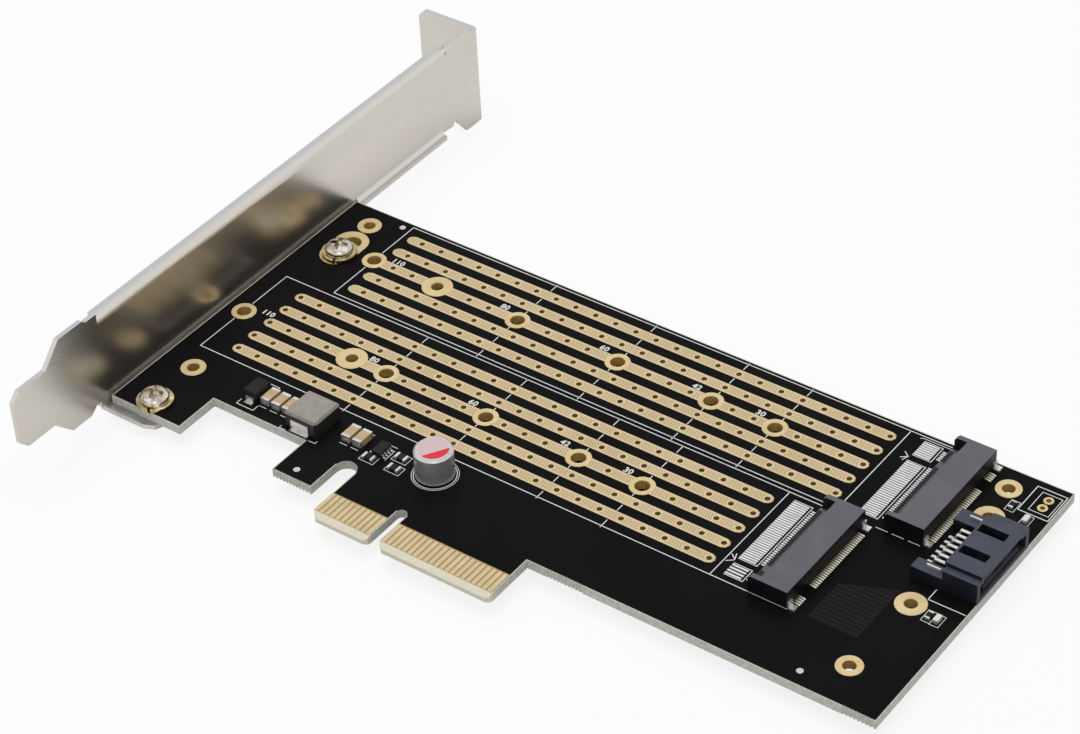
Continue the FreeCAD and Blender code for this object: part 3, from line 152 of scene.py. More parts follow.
class Value:
    """One number of a finish. Arithmetic on it adds the nodes that work it out."""

    def __init__(self, sheet: "Sheet", socket: Socket) -> None:
        """Keeps the socket that carries the number, and the sheet that it belongs to."""
        self.sheet = sheet
        self.socket = socket

    def _with(self, operation: str, *others: "Number") -> "Value":
        """Returns this value joined to others by one Math node."""
        return self.sheet.maths(operation, self, *others)

    def __add__(self, other: "Number") -> "Value":
        """Sum."""
        return self._with("ADD", other)

    __radd__ = __add__

    def __sub__(self, other: "Number") -> "Value":
        """Difference."""
        return self._with("SUBTRACT", other)

    def __rsub__(self, other: "Number") -> "Value":
        """Difference, this value taken from a number."""
        return self.sheet.maths("SUBTRACT", other, self)

    def __mul__(self, other: "Number") -> "Value":
        """Product."""
        return self._with("MULTIPLY", other)

    __rmul__ = __mul__

    def __truediv__(self, other: "Number") -> "Value":
        """Quotient."""
        return self._with("DIVIDE", other)

    def __lt__(self, other: "Number") -> "Value":
        """1 where this value is smaller."""
        return self._with("LESS_THAN", other)

    def __gt__(self, other: "Number") -> "Value":
        """1 where this value is larger."""
        return self._with("GREATER_THAN", other)

    def __pow__(self, other: "Number") -> "Value":
        """Power."""
        return self._with("POWER", other)

    def __abs__(self) -> "Value":
        """Size without sign."""
        return self._with("ABSOLUTE")

    def part(self) -> "Value":
        """What is left of the value over a whole number."""
        return self._with("FRACT")

    def least(self, other: "Number") -> "Value":
        """The smaller of two."""
        return self._with("MINIMUM", other)

    def most(self, other: "Number") -> "Value":
        """The larger of two."""
        return self._with("MAXIMUM", other)

    def held(self) -> "Value":
        """The value kept between 0 and 1."""
        return self.least(1.0).most(0.0)

    def ramp(self, low: float, high: float) -> "Value":
        """0 at low, 1 at high, straight between and level outside."""
        return ((self - low) / (high - low)).held()

    def lines(self, pitch: float, low: float, high: float) -> "Value":
        """Even lines, one a pitch: from 0 in the middle of each up to 1 between them."""
        return abs((self / pitch).part() - 0.5).ramp(low, high)

    def within(self, low: float, high: float, fade: float) -> "Value":
        """1 between low and high, fading at both."""
        return self.ramp(low - fade, low + fade) * (1.0 - self.ramp(high - fade, high + fade))


Number = Union[float, Value]


class Sheet:
    """A sheet of nodes, of a material or of the world."""

    def __init__(self, owner: Union[Material, bpy.types.World], output: str) -> None:
        """Empties the sheet.

        Args:
            owner: the material or world.
            output: the type of its last node.
        """
        owner.use_nodes = True
        self.owner = owner
        self.tree = owner.node_tree
        self.tree.nodes.clear()
        self.output = self.node(output)

    def feed(self, socket: Socket, value: object) -> None:
        """Gives an input its link or its plain value."""
        if isinstance(value, Value):
            value = value.socket
        if isinstance(value, Socket):
            self.tree.links.new(value, socket)
        else:
            socket.default_value = value

    def node(self, kind: str, settings: Optional[dict] = None,
             sockets: Optional[dict] = None) -> Node:
        """Adds a node.

        Args:
            kind: the node's type.
            settings: its own settings.
            sockets: values or links of its inputs, by name or number.

        Returns:
            The node.
        """
        made = self.tree.nodes.new(kind)
        for key, value in (settings or {}).items():
            setattr(made, key, value)
        for key, value in (sockets or {}).items():
            self.feed(made.inputs[key], value)
        return made

    def maths(self, operation: str, *values: Number) -> Value:
        """Returns the result of one Math node."""
        made = self.node("ShaderNodeMath", {"operation": operation}, dict(enumerate(values)))
        return Value(self, made.outputs[0])

    def ray(self, kind: str) -> Value:
        """1 for rays of one kind."""
        return Value(self, self.node("ShaderNodeLightPath").outputs[kind])

    def show(self, mask: Number, first: Node, second: Node) -> None:
        """Shows the first shader where mask is 0, and the second where it is 1."""
        blend = self.node("ShaderNodeMixShader", None,
                          {0: mask, 1: first.outputs[0], 2: second.outputs[0]})
        self.feed(self.output.inputs["Surface"], blend.outputs[0])


class PaintSheet(Sheet):
    """The node sheet of one finish."""

    def __init__(self, name: str) -> None:
        """Opens the sheet of a new material."""
        super().__init__(bpy.data.materials.new(name), "ShaderNodeOutputMaterial")
        self.shader = self.node("ShaderNodeBsdfPrincipled")
        self.feed(self.output.inputs["Surface"], self.shader.outputs[0])

    @cached_property
    def place(self) -> Socket:
        """The place on the piece, as Blender gives it."""
        return self.node("ShaderNodeTexCoord").outputs["Object"]

    @cached_property
    def axes(self) -> tuple[Value, Value, Value]:
        """The place on the piece along x, y and z, in millimetres."""
        scaled = self.node("ShaderNodeVectorMath", {"operation": "SCALE"},
                           {0: self.place, "Scale": 1.0 / MM})
        split = self.node("ShaderNodeSeparateXYZ", None, {0: scaled.outputs[0]})
        return tuple(Value(self, s) for s in split.outputs)

    @cached_property
    def facing_up(self) -> Value:
        """1 on level faces that look up, 0 on upright ones."""
        normal = self.node("ShaderNodeTexCoord").outputs["Normal"]
        return Value(self, self.node("ShaderNodeSeparateXYZ", None, {0: normal}).outputs[2])

    def noise(self, grain: float, detail: float = 3.0, rough: float = 0.55,
              stretch: Place = (1, 1, 1)) -> Value:
        """Soft uneven field.

        Args:
            grain: size of its spots in millimetres.
            detail: how many finer layers it has.
            rough: how strong those are.
            stretch: how much longer the spots are along each axis.

        Returns:
            A value around 0.5.
        """
        turned = self.node("ShaderNodeMapping", {"vector_type": "POINT"},
                           {"Vector": self.place, "Scale": tuple(1.0 / (MM * s) for s in stretch)})
        made = self.node("ShaderNodeTexNoise", None, {"Vector": turned.outputs[0], "Scale": 1.0 / grain,
                                                      "Detail": detail, "Roughness": rough})
        return Value(self, made.outputs["Fac"])

    def mix(self, mask: Number, first: object, second: object) -> Socket:
        """Colour that goes from first to second as mask goes from 0 to 1."""
        made = self.node("ShaderNodeMix", {"data_type": "RGBA"},
                         {0: mask, 6: self._colour(first), 7: self._colour(second)})
        return made.outputs[2]

    @staticmethod
    def _colour(value: object) -> object:
        """A colour with its fourth number, or the link itself."""
        return (*value, 1.0) if isinstance(value, tuple) else value

    def wear(self, **sockets: object) -> None:
        """Sets the shader's own sockets, by their names with spaces written as underscores."""
        for key, value in sockets.items():
            self.feed(self.shader.inputs[key.replace("_", " ")], self._colour(value))

    def bumps(self, height: Value, deep: float) -> None:
        """Gives the surface relief of a height around 0 to 1 and a depth in millimetres."""
        made = self.node("ShaderNodeBump", None, {"Height": height, "Distance": deep * MM, "Strength": 1.0})
        self.feed(self.shader.inputs["Normal"], made.outputs[0])


# ---------------------------------------------------------------- finishes


@dataclass(frozen=True)
class Finish:
    """A finish whose colour drifts towards a second one in soft clouds, with uneven gloss and grain.

    Its sides may carry a painted shade of their own, and its faces that look up a painted reflection.
    """

    name: str
    colour: Colour
    second: Colour
    roughness: float = 0.45
    metallic: float = 0.0
    grain: float = 0.4
    relief: float = 0.01
    drift: float = 3.0
    gloss_play: float = 0.12
    fine_play: float = 0.1
    specular: float = 0.5
    stretch: Place = (1, 1, 1)
    # Painted shade on upright faces, and a painted reflection on faces that look up.
    side: Optional[Colour] = None
    crown: Optional[Colour] = None

    def make(self) -> Material:
        """Returns the material."""
        sheet = PaintSheet(self.name)
        cloud = sheet.noise(self.drift, 3.0, 0.55, self.stretch).ramp(0.35, 0.65)
        fine = sheet.noise(self.grain, 2.0, 0.6, self.stretch)
        gloss = self.roughness + (cloud - 0.5) * self.gloss_play + (fine - 0.5) * self.fine_play
        sheet.wear(Base_Color=self.tint(sheet, sheet.mix(cloud, self.colour, self.second)),
                   Roughness=gloss.held(), Metallic=self.shine(sheet), Specular_IOR_Level=self.specular)
        sheet.bumps(self.form(sheet, fine), self.relief)
        return sheet.owner

    def tint(self, sheet: PaintSheet, colour: Socket) -> Socket:
        """The colour with any marks of its own, painted reflection and painted shade among them."""
        # Painted light: a painted reflection on faces that look up, then a painted shade on the sides.
        if self.crown is not None:
            colour = sheet.mix(sheet.facing_up.ramp(0.75, 0.95), colour, self.crown)
        if self.side is not None:
            colour = sheet.mix(1.0 - sheet.facing_up.ramp(0.45, 0.8), colour, self.side)
        return colour

    def shine(self, sheet: PaintSheet) -> Number:
        """How far it shines as bare metal."""
        return self.metallic

    def form(self, sheet: PaintSheet, fine: Value) -> Value:
        """The relief, with any forms of its own."""
        return fine


@dataclass(frozen=True)
class SolderMask(Finish):
    """Black lacquer: faint tracks lie under it at one place, and the connector's tab is bare."""

    yard: tuple[Point, Point] = ((63.4, 22.6), (71.8, 31.2))
    slope_start: float = 63.7
    slope: float = 0.45
    top_face: float = -0.8
    pitch: float = 0.86
    track: Colour = (0.022, 0.020, 0.020)
    tab_left: float = -11.9
    tab_right: float = 22.2
    tab_top: float = 5.85
    tip_top: float = 1.15
    tab: Colour = (0.36, 0.26, 0.12)
    tip: Colour = (0.62, 0.57, 0.43)

    def tracks(self, sheet: PaintSheet) -> Value:
        """Returns where buried tracks lift the lacquer: a patch with one slanting side."""
        x, y, z = sheet.axes
        (left, low), (right, high) = self.yard
        roof = (x - self.slope_start) * self.slope + high
        patch = (x > left) * (x < right) * (y > low) * (y < roof) * (z > self.top_face)
        return (patch * (y.lines(self.pitch, 0.2, 0.3) * 0.6 + 0.4)).held()

    def tint(self, sheet: PaintSheet, colour: Socket) -> Socket:
        """Tracks are a little lighter than the laminate beside them, and the tab is pale."""
        lifted = sheet.mix(self.tracks(sheet) * 0.65, colour, self.track)
        x, y, _ = sheet.axes
        bare = (y < self.tab_top) * (x > self.tab_left) * (x < self.tab_right)
        return sheet.mix(bare, lifted, sheet.mix((y < self.tip_top).held(), self.tab, self.tip))

    def form(self, sheet: PaintSheet, fine: Value) -> Value:
        """Tracks stand up under the lacquer."""
        return fine * 0.4 + self.tracks(sheet)


@dataclass(frozen=True)
class CoolingCopper(Finish):
    """Gold-washed copper under a fine woven grid, with a plain border along each strip."""

    axis: float = 0.0
    half: float = 1.05
    thread: float = 0.46
    lean: float = 0.25
    gap: Colour = (0.17, 0.115, 0.052)
    edge: Colour = (0.68, 0.55, 0.33)

    def border(self, sheet: PaintSheet) -> Value:
        """Returns 1 along the plain edge of a strip."""
        near, *others = (abs(sheet.axes[1] - (self.axis + strip)) for strip in STRIPS)
        for other in others:
            near = near.least(other)
        return near.ramp(self.half - 0.3, self.half - 0.2)

    def weave(self, sheet: PaintSheet) -> Value:
        """Returns the grid's threads."""
        x, y, _ = sheet.axes
        weft = (x + y * self.lean).lines(self.thread, 0.16, 0.34)
        return (weft + y.lines(self.thread, 0.3, 0.45) * 0.45).held()

    def tint(self, sheet: PaintSheet, colour: Socket) -> Socket:
        """The grid's gaps are darker, and the border is paler."""
        edge = self.border(sheet)
        gaps = (1.0 - self.weave(sheet)) * (1.0 - edge)
        return sheet.mix(edge * 0.6, sheet.mix(gaps * 0.5, colour, self.gap), self.edge)

    def form(self, sheet: PaintSheet, fine: Value) -> Value:
        """The grid's threads stand up."""
        return fine * 0.3 + self.weave(sheet) * 0.7


@dataclass(frozen=True)
class CanFinish(Finish):
    """Bright can with a pale lid; a band of colour marks one side of the lid."""

    middle: Point = (-1.25, 17.83)
    radius: float = 2.55
    top: float = 5.2
    aim: Point = (0.85, -0.53)
    band_start: float = 0.95
    lid: Colour = (0.57, 0.425, 0.45)
    band: Colour = (0.62, 0.008, 0.022)

    def tint(self, sheet: PaintSheet, colour: Socket) -> Socket:
        """Lid and band."""
        x, y, z = sheet.axes
        across = x - self.middle[0]
        along = y - self.middle[1]
        face = (z > self.top) * ((across * across + along * along) ** 0.5 < self.radius)
        side = across * self.aim[0] + along * self.aim[1]
        return sheet.mix(face * (side > self.band_start), sheet.mix(face, colour, self.lid), self.band)

    def shine(self, sheet: PaintSheet) -> Number:
        """The printed lid shines less than the bare wall."""
        return (1.0 - (sheet.axes[2] > self.top)) * self.metallic


@dataclass(frozen=True)
class LegFinish(Finish):
    """Tinned legs: bright at their toes, with a greenish painted shade and painted reflection of the housing
    near the housings' walls.
    """

    wall: float = 60.15
    next_wall: float = 69.65
    fade: float = 0.75
    dull: Colour = (0.13, 0.12, 0.045)

    def tint(self, sheet: PaintSheet, colour: Socket) -> Socket:
        """Painted shade and reflection of the housing near the wall."""
        x = sheet.axes[0]
        second = x > (self.wall + self.next_wall) / 2
        out = x - self.wall - second * (self.next_wall - self.wall)
        return sheet.mix((out / self.fade).held(), self.dull, colour)


@dataclass(frozen=True)
class Laminate(Finish):
    """Sawn edge of the glass laminate: pale, with layers lying flat in it."""

    layer: float = 0.4
    layer_shade: Colour = (0.38, 0.38, 0.33)
    tip_top: float = 1.4
    tip: Colour = (0.70, 0.66, 0.50)

    def tint(self, sheet: PaintSheet, colour: Socket) -> Socket:
        """Darker layers, and a warmer shade at the connector's tip."""
        _, y, z = sheet.axes
        sawn = sheet.mix(z.lines(self.layer, 0.3, 0.5) * 0.35, colour, self.layer_shade)
        return sheet.mix((y < self.tip_top) * 0.7, sawn, self.tip)


class Paints(Enum):
    """Every finish of the card."""

    MASK = SolderMask("black_solder_mask", (0.0042, 0.0038, 0.0044), (0.0062, 0.0056, 0.0060), 0.3,
                      grain=0.25, relief=0.004, drift=22.0, gloss_play=0.06, specular=0.025)
    LAMINATE = Laminate("laminate_edge", (0.60, 0.60, 0.55), (0.46, 0.46, 0.42), 0.7, grain=0.12,
                        relief=0.03, drift=0.7)
    STRIP_M = CoolingCopper("cooling_copper_m", (0.62, 0.50, 0.30), (0.57, 0.45, 0.26), 0.45, 0.1, 0.15,
                            0.012, 12.0, axis=M_ROW.axis)
    STRIP_B = CoolingCopper("cooling_copper_b", (0.62, 0.50, 0.30), (0.57, 0.45, 0.26), 0.45, 0.1, 0.15,
                            0.012, 12.0, axis=B_ROW.axis)
    GOLD = Finish("gold_plate", (0.68, 0.54, 0.29), (0.60, 0.46, 0.23), 0.34, 0.3, 0.3, 0.006, 4.0)
    FINGER = Finish("gold_contact", (0.64, 0.52, 0.32), (0.56, 0.45, 0.25), 0.32, 0.4, 0.3, 0.006, 3.0)
    DOT = Finish("tinned_dot", (0.62, 0.60, 0.54), (0.52, 0.50, 0.45), 0.35, 0.3, 0.3, 0.01, 0.6)
    BARREL = Finish("hole_plating", (0.70, 0.47, 0.14), (0.50, 0.33, 0.09), 0.3, 0.35, 0.3, 0.01, 1.2)
    # Painted shade: the via's shallow hollow is coloured dark for the shade of its hole.
    VIA = Finish("via_hollow", (0.06, 0.038, 0.014), (0.03, 0.02, 0.008), 0.6, 0.0, 0.2, 0.01, 0.8,
                 specular=0.2)
    INK = Finish("legend_ink", (0.72, 0.72, 0.71), (0.62, 0.62, 0.61), 0.62, grain=0.18, relief=0.01,
                 drift=1.5)
    # Bracket sheet: faces that look up get a painted reflection tone of their own.
    NICKEL = Finish("satin_nickel_sheet", (0.68, 0.645, 0.59), (0.65, 0.615, 0.56), 0.28, 1.0, 0.12,
                    0.0001, 16.0, 0.04, 0.02, stretch=(1, 5, 1), crown=(0.53, 0.53, 0.55))
    # Screw heads: the dark second colour in small clouds is a painted reflection of dark surroundings on the
    # bright metal.
    SCREW = Finish("nickel_screw", (0.84, 0.80, 0.73), (0.30, 0.26, 0.19), 0.14, 1.0, 0.45, 0.03, 1.2)
    RECESS = Finish("recess_shade", (0.060, 0.052, 0.044), (0.030, 0.026, 0.022), 0.4, 0.6, 0.3, 0.01, 0.5)
    # Washers: the dark second colour in small clouds is a painted reflection of dark surroundings on the
    # metal.
    WASHER = Finish("washer_nickel", (0.86, 0.76, 0.46), (0.34, 0.27, 0.11), 0.18, 1.0, 0.4, 0.02, 1.1)
    # Socket mouldings: the lighter colour on faces that look up is a painted sheen, and the near-black side
    # colour is a painted shade.
    SOCKET = Finish("socket_moulding", (0.096, 0.092, 0.106), (0.116, 0.112, 0.128), 0.45, grain=0.22,
                    relief=0.008, drift=5.0, specular=0.22, side=(0.004, 0.004, 0.006))
    DATA = Finish("data_socket_moulding", (0.043, 0.047, 0.069), (0.055, 0.059, 0.084), 0.4, grain=0.25,
                  relief=0.01, drift=4.0, specular=0.25, side=(0.010, 0.011, 0.017))
    # Rear legs: greenish painted shade and reflection of the housing near its wall, bright toes.
    LEG = LegFinish("tinned_leg", (0.88, 0.85, 0.72), (0.80, 0.76, 0.62), 0.35, 0.3, 0.2, 0.006, 1.0)
    TOE = Finish("tinned_toe", (0.94, 0.94, 0.92), (0.88, 0.88, 0.86), 0.45, 0.0, 0.2, 0.006, 1.0)
    SOLDER = Finish("bright_solder", (0.74, 0.73, 0.71), (0.58, 0.57, 0.55), 0.26, 0.7, 0.5, 0.02, 0.9)
    CAN = CanFinish("can_aluminium", (0.60, 0.60, 0.60), (0.54, 0.54, 0.54), 0.3, 0.7, 0.3, 0.003, 5.0)
    BLACK = Finish("black_moulding", (0.009, 0.009, 0.010), (0.014, 0.014, 0.015), 0.44, grain=0.15,
                   relief=0.012, drift=1.4, specular=0.14)
    # Choke core: the dark side colour is a painted shade, against its lighter top.
    FERRITE = Finish("ferrite_grey", (0.30, 0.285, 0.25), (0.26, 0.245, 0.215), 0.5, grain=0.16,
                     relief=0.012, drift=1.6, specular=0.25, side=(0.016, 0.015, 0.014))
    CERAMIC = Finish("ceramic_tan", (0.49, 0.37, 0.20), (0.42, 0.31, 0.16), 0.4, grain=0.15, relief=0.01,
                     drift=0.8)
    LAMP = Finish("lamp_resin", (0.72, 0.70, 0.58), (0.62, 0.60, 0.46), 0.2, grain=0.2, relief=0.005,
                  drift=0.6)


CAD_PAINTS: dict[Paints, tuple[str, ...]] = {
    Paints.STRIP_M: ("copper_strips_m",),
    Paints.STRIP_B: ("copper_strips_b",),
    Paints.FINGER: ("edge_contacts_top", "edge_contacts_back"),
    Paints.NICKEL: ("mounting_bracket",),
    Paints.SOCKET: ("m_key_socket_housing", "b_key_socket_housing"),
    Paints.DATA: ("sata_socket_housing",),
    Paints.SOLDER: ("m_key_hold_downs", "b_key_hold_downs", "sata_contacts", "sata_pegs",
                    "capacitor_leads", "choke_terminals", "diode_leads", "ceramic_capacitor_ends",
                    "chip_resistor_ends", "indicator_lamp_ends", "regulator_leads"),
    Paints.CAN: ("capacitor_can",),
    Paints.BLACK: ("capacitor_bung", "diode_body", "chip_resistors", "regulator_body"),
    Paints.FERRITE: ("choke_core",),
    Paints.CERAMIC: ("ceramic_capacitors",),
    Paints.LAMP: ("indicator_lamps",),
}


@dataclass
class PaintShop:
    """Makes each material once and puts it on pieces."""

    made: dict[Paints, Material] = field(default_factory=dict)

    def get(self, paint: Paints) -> Material:
        """Returns the material of a finish."""
        if paint not in self.made:
            self.made[paint] = paint.value.make()
        return self.made[paint]

    def add(self, piece: Piece, *paints: Paints) -> None:
        """Gives a piece one more slot for each finish."""
        for paint in paints:
            piece.data.materials.append(self.get(paint))

    def dress_cad(self) -> None:
        """Gives the carried-over solids their finishes."""
        for paint, nodes in CAD_PAINTS.items():
            for node in nodes:
                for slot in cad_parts[node].material_slots:
                    slot.material = self.get(paint)
                LOG.info("dressed %s with %s", node, paint.value.name)


# ---------------------------------------------------------------- modelling steps


class Bench:
    """Steps of modelling, all done with Blender's own tools. Lengths are in millimetres."""

    @staticmethod
    def clear() -> None:
        """Leaves edit mode with nothing selected."""
        if bpy.context.object and bpy.context.object.mode != "OBJECT":
            bpy.ops.object.mode_set(mode="OBJECT")
        bpy.ops.object.select_all(action="DESELECT")

    @staticmethod
    def take(piece: Piece) -> None:
        """Selects one piece alone."""
        Bench.clear()
        piece.select_set(True)
        bpy.context.view_layer.objects.active = piece

    @staticmethod
    def choose(mode: str, action: str = "SELECT") -> None:
        """Selects all or nothing in edit mode, by VERT, EDGE or FACE."""
        bpy.ops.mesh.select_mode(type=mode)
        bpy.ops.mesh.select_all(action=action)

    @staticmethod
    def edit(piece: Piece, mode: str, action: str = "SELECT") -> None:
        """Opens a piece in edit mode with all of it selected, or nothing."""
        Bench.take(piece)
        bpy.ops.object.mode_set(mode="EDIT")
        Bench.choose(mode, action)

    @staticmethod
    def settle(piece: Piece, name: Optional[str] = None) -> Piece:
        """Moves a piece's place into its mesh, and names it."""
        Bench.take(piece)
        bpy.ops.object.transform_apply(location=True, rotation=True, scale=True)
        if name:
            piece.name = name
            piece.data.name = name
        return piece

    @staticmethod
    def lift(z: float) -> None:
        """Raises what is selected in edit mode."""
        bpy.ops.transform.translate(value=(0.0, 0.0, z * MM))

    @staticmethod
    def inset(wide: float, rise: float = 0.0) -> None:
        """Insets the selected faces, and raises what is left of them."""
        bpy.ops.mesh.inset(thickness=wide * MM)
        Bench.lift(rise)

    @staticmethod
    def pull(x: float, y: float, z: float) -> None:
        """Extrudes what is selected in edit mode."""
        bpy.ops.mesh.extrude_region_move(TRANSFORM_OT_translate={"value": (x * MM, y * MM, z * MM)})

    @staticmethod
    def widen(factor: float, middle: Place) -> None:
        """Scales what is selected in edit mode level about a point."""
        bpy.ops.transform.resize(value=(factor, factor, 1.0), center_override=tuple(v * MM for v in middle))

    @staticmethod
    def pick(piece: Piece, test: Callable[[Face], bool]) -> None:
        """Selects the faces of a piece that pass a test, and opens it in edit mode."""
        Bench.edit(piece, "FACE", "DESELECT")
        bpy.ops.object.mode_set(mode="OBJECT")
        for face in piece.data.polygons:
            face.select = bool(test(face))
        bpy.ops.object.mode_set(mode="EDIT")

    @staticmethod
    def line(points: Sequence[Point], z: float, closed: bool) -> Piece:
        """Draws a line by pulling one point along.

        Args:
            points: corners, x and y.
            z: height.
            closed: whether the last joins the first.

        Returns:
            The line, in edit mode.
        """
        Bench.clear()
        first = points[0]
        bpy.ops.mesh.primitive_plane_add(size=MM, location=(first[0] * MM, first[1] * MM, z * MM))
        drawn = bpy.context.object
        bpy.ops.object.mode_set(mode="EDIT")
        Bench.choose("VERT")
        bpy.ops.mesh.merge(type="CENTER")
        route = list(points) + ([first] if closed else [])
        for before, after in zip(route, route[1:]):
            Bench.pull(after[0] - before[0], after[1] - before[1], 0.0)
        bpy.ops.mesh.select_all(action="SELECT")
        if closed:
            bpy.ops.mesh.remove_doubles(threshold=1e-6)
        return drawn

    @staticmethod
    def sheet(points: Sequence[Point], z: float) -> Piece:
        """Draws an outline filled with one face, in edit mode."""
        drawn = Bench.line(points, z, True)
        bpy.ops.mesh.edge_face_add()
        Bench.choose("FACE")
        return drawn

    @staticmethod
    def prism(points: Sequence[Point], z: float, high: float) -> Piece:
        """A solid drawn up from an outline."""
        drawn = Bench.sheet(points, z)
        Bench.pull(0, 0, high)
        return Bench.outward(Bench.settle(drawn))

    @staticmethod
    def stroke(points: Sequence[Point], wide: float, z: float, high: float,
               closed: bool = False) -> Piece:
        """Draws a raised line of even width.

        Args:
            points: corners, x and y.
            wide: its width.
            z: its foot.
            high: its height.
            closed: whether the last point joins the first.

        Returns:
            The line as a solid.
        """
        drawn = Bench.line(points, z, closed)
        Bench.pull(0.0, 0.0, high)
        Bench.settle(drawn)
        return Bench.modify(drawn, "SOLIDIFY", thickness=wide * MM, offset=0.0, use_even_offset=True,
                            use_rim=True)

    @staticmethod
    def slab(low: Place, high: Place) -> Piece:
        """A block between two corners."""
        Bench.clear()
        middle = tuple((a + b) / 2 * MM for a, b in zip(low, high))
        bpy.ops.mesh.primitive_cube_add(size=1.0, location=middle)
        made = bpy.context.object
        made.scale = tuple((b - a) * MM for a, b in zip(low, high))
        return Bench.settle(made)

    @staticmethod
    def disc(place: Place, radius: float, sides: int) -> Piece:
        """A flat round face, in edit mode."""
        Bench.clear()
        bpy.ops.mesh.primitive_circle_add(vertices=sides, radius=radius * MM, fill_type="NGON",
                                          location=tuple(v * MM for v in place))
        made = bpy.context.object
        bpy.ops.object.mode_set(mode="EDIT")
        Bench.choose("FACE")
        return made

    @staticmethod
    def rod(place: Place, radius: float, high: float, sides: int) -> Piece:
        """A round solid that stands on a place."""
        made = Bench.disc(place, radius, sides)
        Bench.pull(0, 0, high)
        return Bench.outward(Bench.settle(made))

    @staticmethod
    def modify(piece: Piece, kind: str, **settings: object) -> Piece:
        """Puts one modifier on a piece and applies it."""
        Bench.take(piece)
        made = piece.modifiers.new(kind.title(), kind)
        for key, value in settings.items():
            setattr(made, key, value)
        bpy.ops.object.modifier_apply(modifier=made.name)
        return piece

    @staticmethod
    def carve(piece: Piece, tool: Piece) -> Piece:
        """Cuts a tool out of a piece and throws the tool away."""
        Bench.modify(piece, "BOOLEAN", object=tool, operation="DIFFERENCE", solver="EXACT")
        bpy.data.objects.remove(tool)
        return piece

    @staticmethod
    def chamfer(piece: Piece, wide: float, segments: int, degrees: float) -> Piece:
        """Bevels a piece's edges that are sharper than an angle."""
        return Bench.modify(piece, "BEVEL", width=wide * MM, segments=segments, limit_method="ANGLE",
                            angle_limit=math.radians(degrees))

    @staticmethod
    def turn(piece: Piece, x: float, z: float) -> Piece:
        """Turns a piece's mesh about x, then about z, in degrees."""
        piece.data.transform(Euler((math.radians(x), 0.0, math.radians(z))).to_matrix().to_4x4())
        return piece

    @staticmethod
    def twin(model: Piece, move: Matrix) -> Piece:
        """Returns a moved copy of a model, with its own mesh."""
        made = model.copy()
        made.data = model.data.copy()
        made.data.transform(move)
        bpy.context.scene.collection.objects.link(made)
        return made

    @staticmethod
    def spread(model: Piece, places: Iterable[Place], name: str) -> Piece:
        """Copies a model to several places as one piece, and throws the model away."""
        made = [Bench.twin(model, Matrix.Translation(Vector(place) * MM)) for place in places]
        bpy.data.objects.remove(model)
        return Bench.join(made, name)

    @staticmethod
    def join(pieces: Sequence[Piece], name: str) -> Piece:
        """Joins pieces into one and names it."""
        Bench.clear()
        for piece in pieces:
            piece.select_set(True)
        bpy.context.view_layer.objects.active = pieces[0]
        if len(pieces) > 1:
            bpy.ops.object.join()
        return Bench.settle(bpy.context.view_layer.objects.active, name)

    @staticmethod
    def outward(piece: Piece) -> Piece:
        """Turns every face outward."""
        Bench.edit(piece, "FACE")
        bpy.ops.mesh.normals_make_consistent(inside=False)
        Bench.clear()
        return piece

    @staticmethod
    def smooth(piece: Piece, degrees: float = 35.0) -> Piece:
        """Smooths shallow edges."""
        Bench.take(piece)
        bpy.ops.object.shade_smooth_by_angle(angle=math.radians(degrees))
        return piece


@dataclass
class Assembly:
    """What every sub-assembly shares: its paints, and how a finished piece is handed over."""

    shop: PaintShop

    def hand_over(self, piece: Piece, slot: Optional[str], paint: Optional[Paints] = None,
                  stands_for: Sequence[str] = ()) -> None:
        """Dresses a piece and fixes it to the card.

        Args:
            piece: the finished piece.
            slot: the record's material slot; not used.
            paint: its finish, where it has none yet.
            stands_for: solids that it replaces.
        """
        if paint:
            self.shop.add(piece, paint)
        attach(piece, "root")
        if stands_for:
            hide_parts(*stands_for)
        LOG.info("built %s: %d faces", piece.name, len(piece.data.polygons))


# ---------------------------------------------------------------- board


